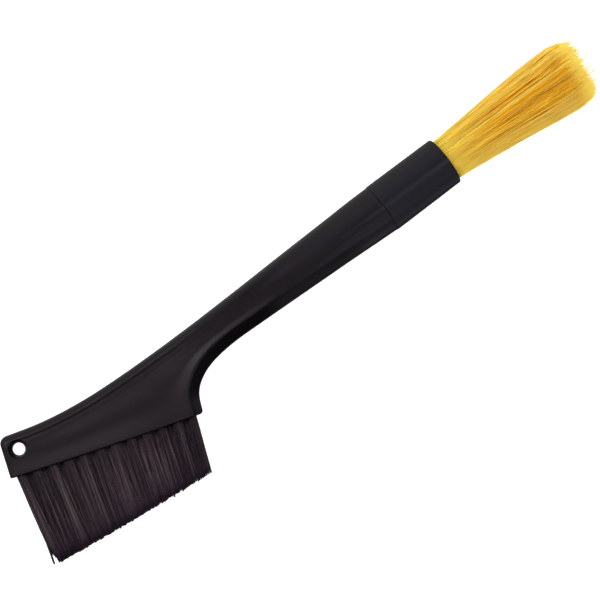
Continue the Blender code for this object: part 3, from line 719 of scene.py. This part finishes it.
def hair_mesh(name, paths, radius, shade, along, sides=3):
    """Thin closed tubes. paths is (hair, ring, 3) in brush mm, radius and along are (hair, ring), shade is 0..1 per hair."""
    paths = np.asarray(paths, float)
    count, n = paths.shape[:2]
    tangent = np.gradient(paths, axis=1)
    tangent /= np.linalg.norm(tangent, axis=2, keepdims=True)
    roll = RNG.uniform(0, 2 * math.pi, count)
    ref = np.zeros((count, 1, 3))
    ref[:, 0, 1], ref[:, 0, 2] = np.cos(roll), np.sin(roll)
    steep = np.abs(np.einsum("hrj,hj->hr", tangent, ref[:, 0])).max(axis=1) > 0.93
    ref[steep, 0] = (0.0, 0.0, 1.0)
    e1 = np.cross(tangent, ref)
    e1 /= np.linalg.norm(e1, axis=2, keepdims=True)
    e2 = np.cross(tangent, e1)
    a = 2 * math.pi * np.arange(sides) / sides
    verts = (paths[:, :, None] + radius[:, :, None, None]
             * (e1[:, :, None] * np.cos(a)[None, None, :, None] + e2[:, :, None] * np.sin(a)[None, None, :, None]))
    base = (np.arange(count)[:, None, None] * n + np.arange(n - 1)[None, :, None]) * sides
    j = np.arange(sides)[None, None]
    k = (j + 1) % sides
    quads = np.stack([base + j, base + k, base + sides + k, base + sides + j], axis=-1)
    root = np.arange(count)[:, None] * n * sides + np.arange(sides)[None, ::-1]
    tip = (np.arange(count)[:, None] * n + n - 1) * sides + np.arange(sides)[None]
    total_quads = count * (n - 1) * sides
    loops = np.concatenate([quads.reshape(-1), root.reshape(-1), tip.reshape(-1)])
    starts = np.concatenate([np.arange(total_quads) * 4, total_quads * 4 + np.arange(2 * count) * sides])
    totals = np.concatenate([np.full(total_quads, 4), np.full(2 * count, sides)])
    mesh = bpy.data.meshes.new(name)
    mesh.vertices.add(verts.size // 3)
    mesh.vertices.foreach_set("co", to_row(verts.reshape(-1, 3)).astype(np.float32).ravel())
    mesh.loops.add(len(loops))
    mesh.loops.foreach_set("vertex_index", loops.astype(np.int32))
    mesh.polygons.add(len(starts))
    mesh.polygons.foreach_set("loop_start", starts.astype(np.int32))
    mesh.polygons.foreach_set("loop_total", totals.astype(np.int32))
    # one column of the map for each shade, root at the bottom
    column = np.floor(np.clip(shade, 0, 0.9999) * SHADES)
    left = np.broadcast_to((column[:, None, None] + 0.15 + 0.7 * j / sides) / SHADES, quads.shape[:3])
    right = left + 0.7 / sides / SHADES
    low = np.broadcast_to(along[:, :-1, None], quads.shape[:3])
    high = np.broadcast_to(along[:, 1:, None], quads.shape[:3])
    side_uv = np.stack([np.stack([left, right, right, left], -1), np.stack([low, low, high, high], -1)], -1)
    fan = (column[:, None] + 0.15 + 0.7 * np.arange(sides)[None] / sides) / SHADES
    lift = 0.004 * (np.arange(sides) % 2)[None]
    root_uv = np.stack([fan, along[:, :1] + lift], -1)
    tip_uv = np.stack([fan, along[:, -1:] - lift], -1)
    uv = np.concatenate([side_uv.reshape(-1, 2), root_uv.reshape(-1, 2), tip_uv.reshape(-1, 2)])
    uv[:, 1] = 0.01 + 0.98 * uv[:, 1]
    for map_name in ("strand", "OFBake"):
        layer = mesh.uv_layers.new(name=map_name)
        layer.uv.foreach_set("vector", uv.astype(np.float32).ravel())
    mesh.update(calc_edges=True)
    mesh.shade_smooth()
    return mesh


def in_disc(count):
    """Evenly scattered points of the unit disc, by a sunflower spiral with some jitter."""
    k = np.arange(count) + 0.5
    r = np.sqrt(k / count)
    a = k * math.pi * (3 - math.sqrt(5))
    p = np.column_stack([r * np.cos(a), r * np.sin(a)])
    p += RNG.normal(0, 0.35 / math.sqrt(count), p.shape)
    return p / np.maximum(1.0, np.linalg.norm(p, axis=1, keepdims=True) / 0.995)


def bundle_at(x, disc):
    """Brush mm of a point of the unit disc carried along the bundle to x."""
    lo = table(x, [(r[0], r[1]) for r in BUNDLE])
    hi = table(x, [(r[0], r[2]) for r in BUNDLE])
    mid, half = (lo + hi) / 2, (hi - lo) / 2
    flat = 1 - (1 - BUNDLE_FLATNESS) * np.clip((x - 31) / 25, 0, 1)
    return np.stack([x, mid + half * disc[..., 0], half * flat * disc[..., 1]], -1)


def nearest_of(points, centres):
    """Index of the nearest centre for each point of the disc."""
    return np.concatenate([((q[:, None] - centres[None]) ** 2).sum(2).argmin(1)
                           for q in np.array_split(points, max(1, len(points) // 1000))])


def drift(count, s, waves, size):
    """A slow sideways drift along s, one for each of count strands, as (strand, ring, 2)."""
    out = np.zeros((count, s.shape[1], 2))
    for low, high in waves:
        f = RNG.uniform(low, high, (count, 1, 2))
        phase = RNG.uniform(0, 2 * math.pi, (count, 1, 2))
        out += np.sin(2 * math.pi * f * s[:, :, None] + phase) - np.sin(phase)
    return out * size / len(waves)


def round_hair(count, rings_n, start_x, r_root, r_tip):
    """Paths of natural bristles: laid side by side, drawn into strands along the way and loose again at the tips."""
    disc = in_disc(count)
    rho = np.linalg.norm(disc, axis=1)
    keep = RNG.random(count) < 1 - 0.65 * ramp(rho, 0.84, 0.99)
    disc, rho = disc[keep], rho[keep]
    count = len(disc)
    strands = in_disc(2900)
    own = nearest_of(disc, strands)
    locks = in_disc(170)
    group = nearest_of(strands, locks)[own]
    # tips: a fairly square end, a little uneven from strand to strand, with some strands and hairs standing out
    tip_x = np.interp(rho, [0, 0.5, 0.75, 0.87, 0.95, 1.0], [91.1, 91.2, 91.2, 90.9, 90.0, 88.5])
    side = disc[:, 0]
    tip_x += 1.1 * ramp(-side, 0.7, 1.0) - 0.45 * ramp(-side, -0.2, 0.1) * (1 - ramp(-side, 0.5, 0.8))
    tip_x += 0.4 * side + 1.2 * ramp(side, 0.35, 0.6) * (1 - ramp(side, 0.78, 0.95)) + RNG.normal(0, 0.25, len(strands))[own] + RNG.normal(0, 1.05, count)
    ahead = RNG.random(len(strands))[own] < 0.10
    wisp = ahead & (RNG.random(count) < 0.85)
    tip_x += wisp * (2.8 + RNG.exponential(1.3, len(strands))[own] * RNG.uniform(0.8, 1.0, count))
    tip_x = np.minimum(tip_x, 97.6 + 1.1 * wisp - 0.9 * rho**2)
    t = np.linspace(0, 1, rings_n)
    t = t + 0.06 * np.sin(math.pi * t)
    x = start_x + (tip_x - start_x)[:, None] * t[None]
    s = np.clip((x - 31) / 65, 0, 1)
    # strands close up along the free length and open again near the tips, but for those that stand out
    grip = RNG.uniform(0.45, 1.0, len(strands))[own][:, None]
    draw = grip * ramp(s, 0.0, 0.45) * 0.72 * (1 - 0.5 * ramp(s, 0.80, 1.0) * (1 - ahead[:, None]))
    draw = draw + (1 - draw) * (ahead[:, None] * ramp(s, 0.86, 0.97)) * 0.85
    place = disc[:, None] + (strands[own] - disc)[:, None] * draw[:, :, None]
    pull = RNG.uniform(0.0, 0.30, len(locks))[group][:, None] * ramp(s, 0.1, 0.6) * (1 - 0.6 * ramp(s, 0.80, 1.0))
    place = place + (locks[group] - strands[own])[:, None] * pull[:, :, None]
    along_s = np.linspace(0, 1, 40)[None]
    bundle_drift = drift(len(strands), np.broadcast_to(along_s, (len(strands), 40)), ((0.4, 1.0), (1.2, 2.6)), 0.026)
    at = np.clip(s * 39, 0, 38.999)
    k = at.astype(int)
    part = (at - k)[:, :, None]
    place = place + bundle_drift[own[:, None], k] * (1 - part) + bundle_drift[own[:, None], k + 1] * part
    place = place + drift(count, s, ((0.3, 0.8), (1.0, 2.2)), 0.018)
    loose = RNG.normal(0, 1, (count, 1, 2)) * 0.018 * (ramp(s, 0.72, 1.0) ** 1.4)[:, :, None]
    place = place + loose
    wild = RNG.random(count) < 0.10
    place = place + (wild[:, None] * RNG.normal(0, 1, (count, 2)) * 0.07)[:, None] * (s**1.5)[:, :, None]
    size = np.linalg.norm(place, axis=2, keepdims=True)
    limit = np.where(wild, 1.02, 0.995)[:, None, None] + 0.010 * RNG.normal(0, 1, (count, 1, 1)) * s[:, :, None]
    place = np.where(size > limit, place * (limit / size), place)
    # the outer hairs turn in at the end
    turn_in = 0.15 * ramp(x, 85.0, 96.5) * (rho**2)[:, None]
    place = place * (1 - turn_in)[:, :, None]
    path = bundle_at(x, place)
    along = np.clip((x - start_x) / (tip_x - start_x)[:, None], 0, 1)
    radius = (r_root * (0.80 + 0.20 * ramp(s, 0.0, 0.4)) + (r_tip - r_root) * ramp(s, 0.55, 1.0)) * RNG.uniform(0.85, 1.15, (count, 1))
    radius = radius * (1 - 0.35 * wisp[:, None] * ramp(s, 0.85, 0.97))
    front = disc[:, 0]
    # Shade per hair: random tones by strand, lock and hair. Painted light and shade on top: one strand in ten much
    # darker, a painted shadow standing in for the shaded gaps between strands; a lighter band on the spine side and a
    # darker band on the belly side, painted light and shade; the outer hairs and the spine and belly sides paler, a
    # painted glow of light through the thin outer hairs, more so on the belly side; the hairs deep in the bundle
    # darker, painted shade.
    shade = (0.64 + RNG.normal(0, 0.26, len(strands))[own] - 0.5 * (RNG.random(len(strands)) < 0.10)[own]
             + 0.09 * (ramp(front, 0.15, 0.4) - ramp(front, 0.7, 0.9))
             - 0.27 * (ramp(-front, 0.05, 0.25) - ramp(-front, 0.62, 0.8))
             + RNG.normal(0, 0.05, len(locks))[group] + RNG.normal(0, 0.15, count)
             + 0.19 * ramp(rho, 0.82, 0.96) + (0.26 + 0.20 * (front < 0)) * ramp(np.abs(front), 0.72, 0.95)
             - 0.36 * (1 - ramp(rho, 0.6, 0.88)))
    shade = np.where(wisp, 0.95 - 0.2 * RNG.random(count), shade)
    return path, radius, along, np.clip(shade, 0.0, 0.999), wisp


def split_ends(path, radius, along, shade, share, length, spread):
    """Fine flags at the tips of some of the bristles."""
    pick = np.flatnonzero(RNG.random(len(path)) < share)
    tip = path[pick, -1]
    way = path[pick, -1] - path[pick, -2]
    way /= np.linalg.norm(way, axis=1, keepdims=True)
    out = []
    for _ in range(2):
        side = RNG.normal(0, 1, (len(pick), 3)) * (0.15, 1, 1)
        run = length * RNG.uniform(0.5, 1.2, (len(pick), 1))
        t = np.linspace(0, 1, 4)[None, :, None]
        start = (tip - way * run * 0.7)[:, None]
        out.append(start + way[:, None] * run[:, None] * t + side[:, None] * spread * t**1.6)
    flags = np.concatenate(out)
    r = np.concatenate([radius[pick, -1:]] * 2) * np.linspace(0.9, 0.35, 4)[None]
    a = np.clip(np.concatenate([along[pick, -1:]] * 2) + np.linspace(-0.02, 0.0, 4)[None], 0, 1)
    return flags, r, a, np.clip(np.concatenate([shade[pick]] * 2) + 0.15, 0, 0.999)


ROUND_HAIR = 13000
path, radius, along, shade, wisp = round_hair(ROUND_HAIR, 12, 26.5, 0.095, 0.055)
mesh = hair_mesh("round_bristle_wisps", path[wisp], radius[wisp], shade[wisp], along[wisp])
piece("round_bristle_wisps", mesh, wispy_hair, "natural_bristle", "round_bristle_bundle")
path, radius, along, shade = (v[~wisp] for v in (path, radius, along, shade))
order = np.argsort(np.arctan2(path[:, 5, 2], path[:, 5, 1]), kind="stable")
for k, part in enumerate(np.array_split(order, 5)):
    mesh = hair_mesh(f"round_bristles_{k + 1}", path[part], radius[part], shade[part], along[part])
    piece(f"round_bristles_{k + 1}", mesh, gold_hair, "natural_bristle", "round_bristle_bundle")
flag_path, flag_r, flag_a, flag_s = split_ends(path, radius, along, shade, 0.4, 2.8, 0.28)
mesh = hair_mesh("round_bristle_flags", flag_path, flag_r, flag_s, flag_a)
piece("round_bristle_flags", mesh, gold_hair, "natural_bristle", "round_bristle_bundle")

# the trimmed edge: hairs that stand together end together, so the edge is finely ragged
CELL = 0.74
cell_length = RNG.normal(0, 0.20, (2, 200))
cell_shift = RNG.uniform(-0.25, 0.25, (2, 200))


def trim_line(u):
    """Length of the flat brush's hair under its place along the edge."""
    t = np.clip((u - 8) / 65, 0, 1)
    return 37.25 - 0.2095 * u + 1.4 * t * (1 - t)


def toe_edge(v):
    return table(v, [(-3, 2.41), (0, 2.45), (4, 2.75), (8, 3.0), (14, 3.5), (22, 4.25), (28, 4.85), (36, 4.95)])


def heel_edge(v):
    return table(v, [(-3, 73.37), (0, 73.35), (4, 73.15), (8, 72.9), (14, 72.5), (20, 72.2), (24, 72.0)])


def flat_hair(i, count, rings_n):
    """Paths of one tuft of the flat brush, fanned out from its hole and trimmed on the common line."""
    u0, z0, row = tuft_u(i), tuft_z(i), (1 if i % 2 == 0 else -1)
    side = i % 2
    disc = in_disc(count)
    root_r = TUFT_HOLE_R - 0.12
    share = (u0 - TUFT_FIRST_U) / (TUFT_PITCH * (TUFTS - 1))
    lean = LEAN_TOE + (LEAN_HEEL - LEAN_TOE) * share
    strands = in_disc(84)
    own = nearest_of(disc, strands)
    aim = disc + (strands[own] - disc) * 0.55 + RNG.normal(0, 0.05, (count, 2))
    reach = trim_line(u0 + lean * 33)
    tip_u = u0 + lean * reach + aim[:, 0] * 2.7
    low, high = float(toe_edge(reach)), float(heel_edge(reach))
    tip_u = np.where(tip_u < low, low + np.abs(RNG.normal(0, 0.5, count)), tip_u)
    tip_u = np.where(tip_u > high, high - np.abs(RNG.normal(0, 0.5, count)), tip_u)
    # a round tuft opens to a square one, so that its neighbours close the edge
    tip_z = row * 0.25 + 2.3 * np.clip(aim[:, 1] / np.sqrt(np.clip(1 - aim[:, 0] ** 2, 0.2, 1)), -1.04, 1.04)
    free_hair = RNG.random(count) < 0.16
    tip_u = np.clip(tip_u + free_hair * RNG.normal(0, 1.5, count), low, high)
    cell = np.floor(tip_u / CELL).astype(int)
    middle = (cell + 0.5 + cell_shift[side, cell]) * CELL
    worn = cell_length[side, cell] * (1 - 0.7 * ramp(tip_u, 67.0, 70.0))
    length = trim_line(tip_u) + worn - np.abs(RNG.normal(0, 0.13, count)) + 0.12
    length -= (RNG.random(count) < 0.10) * RNG.uniform(0.3, 2.0, count)
    # the corner at the toe is worn back to a slant, with two thin points left standing
    slant = 31.0 + 1.73 * (tip_u - 5.2)
    point_a = (np.argsort(np.argsort(tip_u)) < 34) & (i < 1)
    point_b = (np.argsort(np.argsort(np.abs(tip_u - 7.1))) < 26) & (i < 2)
    length = np.where(point_a, 36.1 - RNG.uniform(0, 1.2, count), np.where(point_b, 35.9 - RNG.uniform(0, 0.8, count),
                      np.minimum(length, slant + RNG.normal(0, 0.2, count))))
    middle = np.where(point_a, 4.97, np.where(point_b, 7.15, middle))
    closing = np.where(point_a | point_b, 0.88, 0.3)
    root = np.column_stack([u0 + disc[:, 0] * root_r, np.full(count, -2.0), z0 + disc[:, 1] * root_r])
    t = np.linspace(0, 1, rings_n) ** 1.15
    v = root[:, 1:2] + (length - root[:, 1])[:, None] * t[None]
    v[:, 1] = 0.0
    v[:, 2] = 0.2
    v[:, 3] = np.minimum(v[:, 3], 1.8)
    s = np.clip(v / length[:, None], 0, 1)
    # hairs spread over the rim of their hole at once, and the tuft then opens evenly
    splay = 0.13 * (1 - np.exp(-np.clip(v, 0, None) / 0.7))
    fan = splay + (1 - 0.13) * s
    spill = np.sign(disc[:, 0]) * np.where(np.abs(disc[:, 0]) > 0.55, RNG.uniform(0.2, 0.75, count), RNG.uniform(0, 0.3, count))
    spill = spill[:, None] * (1 - np.exp(-np.clip(v, 0, None) / 0.10)) * (1 - s) ** 2
    bend = RNG.normal(0, 1, (len(strands), 2))[own] * 0.16 + RNG.normal(0, 1, (count, 2)) * 0.12
    wave = np.sin(math.pi * s)
    u = root[:, :1] + (tip_u - root[:, 0])[:, None] * fan + bend[:, :1] * wave + spill
    mingle = 0.6 * (1 - np.exp(-np.clip(v, 0, None) / 4.0)) + 0.4 * s
    z = root[:, 2:] + (tip_z - root[:, 2])[:, None] * mingle + bend[:, 1:] * wave * 0.6
    close_up = ramp(length[:, None] - v, 4.5, 0.0) * closing[:, None]
    u = u + (middle[:, None] - u) * close_up
    if i < 2:
        u = np.maximum(u, toe_edge(v) + np.abs(RNG.normal(0, 0.12, (count, 1))))
    if i > TUFTS - 3:
        u = np.minimum(u, heel_edge(v) - np.abs(RNG.normal(0, 0.12, (count, 1))))
    flat = toe_bottom[None, None] + U * u[:, :, None] + V * v[:, :, None]
    path = np.concatenate([flat, z[:, :, None]], -1)
    radius = np.full(v.shape, 0.10) * RNG.uniform(0.85, 1.15, (count, 1)) * (1 - 0.25 * ramp(s, 0.85, 1.0))
    # Shade per hair: random tones by strand and hair, the tufts a little lighter past the first few. Painted light
    # and shade on top: one strand in ten much lighter, a painted highlight along single strands; the tufts darker
    # towards the heel end, painted shade; each tuft darker at its two sides, painted shade between neighbouring
    # tufts.
    shade = (0.545 + RNG.normal(0, 0.36, len(strands))[own] + RNG.normal(0, 0.24, count) + RNG.normal(0, 0.03)
             + 0.4 * (RNG.random(len(strands)) < 0.10)[own] - 0.52 * float(ramp(u0, 52.0, 64.0))
             + 0.09 * float(ramp(u0, 14.0, 26.0)) - 0.40 * ramp(np.abs(disc[:, 0]), 0.5, 0.85))
    shade = np.clip(shade, 0, 0.999)
    return path, radius, s, shade


FLAT_HAIR = 300
for i in range(TUFTS):
    path, radius, along, shade = flat_hair(i, FLAT_HAIR, 11)
    mesh = hair_mesh("flat_bristles_" + tuft_name(i), path, radius, shade, along)
    piece("flat_bristles_" + tuft_name(i), mesh, dark_hair, "nylon_bristle", "flat_tuft_" + tuft_name(i))

# ---------------------------------------------------------------- the inner pieces keep their solids
amber, steel = resin(), staple_steel()
for name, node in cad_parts.items():
    if name.startswith("tuft_anchor_"):
        node.material_slots[0].material = steel
    elif name == "bristle_resin_plug":
        node.material_slots[0].material = amber

# ---------------------------------------------------------------- camera of the photograph
ROLL = math.radians(37.15)
LEAN = math.radians(2.8)
right = Vector((math.cos(ROLL) * math.cos(LEAN), -math.sin(ROLL), math.sin(LEAN) * math.cos(ROLL)))
up = Vector((math.sin(ROLL) * math.cos(LEAN), math.cos(ROLL), math.sin(LEAN) * math.sin(ROLL)))
back = Vector((-math.sin(LEAN), 0.0, math.cos(LEAN)))
eye = Vector((-78.46, -8.93, 664.2))
turn = TO_ROW.to_3x3().normalized()
axes = Matrix((turn @ right, turn @ up, turn @ back)).transposed().to_4x4()
camera_data = bpy.data.cameras.new("camera")
camera_data.sensor_width = 36.0
camera_data.lens = 105.0
camera_data.clip_start, camera_data.clip_end = 0.01, 20.0
camera = bpy.data.objects.new("camera", camera_data)
studio.objects.link(camera)
camera.matrix_world = Matrix.Translation(TO_ROW @ eye) @ axes
bpy.context.scene.camera = camera

# ---------------------------------------------------------------- table and light
floor_mesh = bpy.data.meshes.new("floor")
size = 3.0
floor_mesh.from_pydata([(-size, -size, 0), (size, -size, 0), (size, size, 0), (-size, size, 0)], [], [(0, 1, 2, 3)])
floor = bpy.data.objects.new("floor", floor_mesh)
studio.objects.link(floor)
floor.location.z = -0.0002
floor_mat, shader, n = new_material("pale_table", 0.9)
shader.inputs["Base Color"].default_value = (0.60, 0.60, 0.60, 1.0)
shader.inputs["Specular IOR Level"].default_value = 0.0
shader.inputs["Emission Color"].default_value = (1.0, 1.0, 1.0, 1.0)
shader.inputs["Emission Strength"].default_value = 0.9
floor.data.materials.append(floor_mat)
floor.visible_glossy = False

world = bpy.data.worlds.new("studio")
bpy.context.scene.world = world
world.use_nodes = True
w = Nodes(world.node_tree)
out = world.node_tree.nodes["World Output"]
sky = world.node_tree.nodes["Background"]
way = w.add("ShaderNodeTexCoord").outputs["Generated"]
facing = w.add("ShaderNodeVectorMath", operation="DOT_PRODUCT")
w.link(way, facing.inputs[0])
facing.inputs[1].default_value = Vector((0.25, -0.97, 0.0)).normalized()
side = w.math("MULTIPLY_ADD", facing.outputs["Value"], 0.5)
side.node.inputs[2].default_value = 0.5
w.link(w.ramp(side, [(0.0, (0.92, 0.92, 0.92)), (0.16, (0.88, 0.88, 0.88)), (0.30, (0.62, 0.62, 0.62)), (0.48, (0.14, 0.14, 0.14)),
                     (0.66, (0.12, 0.12, 0.12)), (0.88, (0.05, 0.05, 0.05)), (1.0, (0.05, 0.05, 0.05))]),
       sky.inputs[0])
height = w.add("ShaderNodeSeparateXYZ")
w.link(way, height.inputs[0])
below = w.add("ShaderNodeMapRange", interpolation_type="SMOOTHSTEP")
for socket, value in (("From Min", -0.6), ("From Max", 0.1), ("To Min", 0.5), ("To Max", 1.0)):
    below.inputs[socket].default_value = value
w.link(height.outputs["Z"], below.inputs["Value"])
w.link(below.outputs[0], sky.inputs[1])
pale = w.add("ShaderNodeBackground")
pale.inputs[0].default_value = (0.97, 0.97, 0.97, 1.0)
which = w.add("ShaderNodeMixShader")
w.link(w.add("ShaderNodeLightPath").outputs["Is Camera Ray"], which.inputs[0])
w.link(sky.outputs[0], which.inputs[1])
w.link(pale.outputs[0], which.inputs[2])
w.link(which.outputs[0], out.inputs[0])


def softbox(name, at, towards, wide, high, radiance, mirrored=True, tint=(1.0, 1.0, 1.0)):
    """A soft rectangular light of a given radiance, unseen by the camera."""
    light = bpy.data.lights.new(name, "AREA")
    light.shape = "RECTANGLE"
    light.size, light.size_y = wide, high
    light.energy = radiance * wide * high * math.pi
    light.color = tint
    obj = bpy.data.objects.new(name, light)
    studio.objects.link(obj)
    obj.location = at
    obj.rotation_euler = (Vector(towards) - Vector(at)).to_track_quat("-Z", "Y").to_euler()
    obj.visible_camera = False
    obj.visible_glossy = mirrored
    return obj


softbox("key", (-0.25, 0.80, 1.20), (0, 0, 0), 0.5, 0.5, 14.0, mirrored=False)
softbox("end_fill", (0.38, -0.12, 0.26), (0.12, 0, 0.01), 0.18, 0.18, 9.0, mirrored=False)
softbox("tip_fill", (0.56, 0.03, 0.036), (0.13, 0, 0.012), 0.25, 0.06, 27.0, mirrored=False,
        tint=(1.0, 0.95, 0.86))
softbox("head_front", (-0.252, -0.14, 0.70), (-0.15, 0, 0), 0.176, 0.15, 2.9)
softbox("head_back", (-0.255, 0.20, 0.70), (-0.15, 0, 0), 0.22, 0.15, 4.9)
COOL = (0.95, 1.0, 1.14)
softbox("grip_top", (0.048, -0.09, 0.70), (0.04, 0, 0), 0.104, 0.32, 0.52, tint=COOL)
softbox("sleeve_top", (0.215, -0.06, 0.70), (0.10, 0, 0), 0.15, 0.34, 2.6, tint=COOL)
softbox("grip_back", (0.09, 0.25, 0.30), (0.09, 0, 0.01), 0.34, 0.36, 0.25, tint=(0.1, 0.5, 1.0))
softbox("low_side", (0.10, -0.614, 0.668), (0.10, 0, 0.01), 0.36, 0.76, 0.98, tint=COOL)
softbox("grip_edge", (0.010, -0.034, 0.010), (0.010, 0, 0.010), 0.05, 0.06, 0.19, tint=COOL)
softbox("edge", (0.075, -0.056, 0.010), (0.075, 0, 0.010), 0.09, 0.09, 0.42, tint=COOL)

scene = bpy.context.scene
scene.view_settings.view_transform = "Standard"
scene.view_settings.look = "None"
scene.view_settings.exposure = 0.0
scene.cycles.denoising_prefilter = "NONE"  # keeps the single hairs crisp
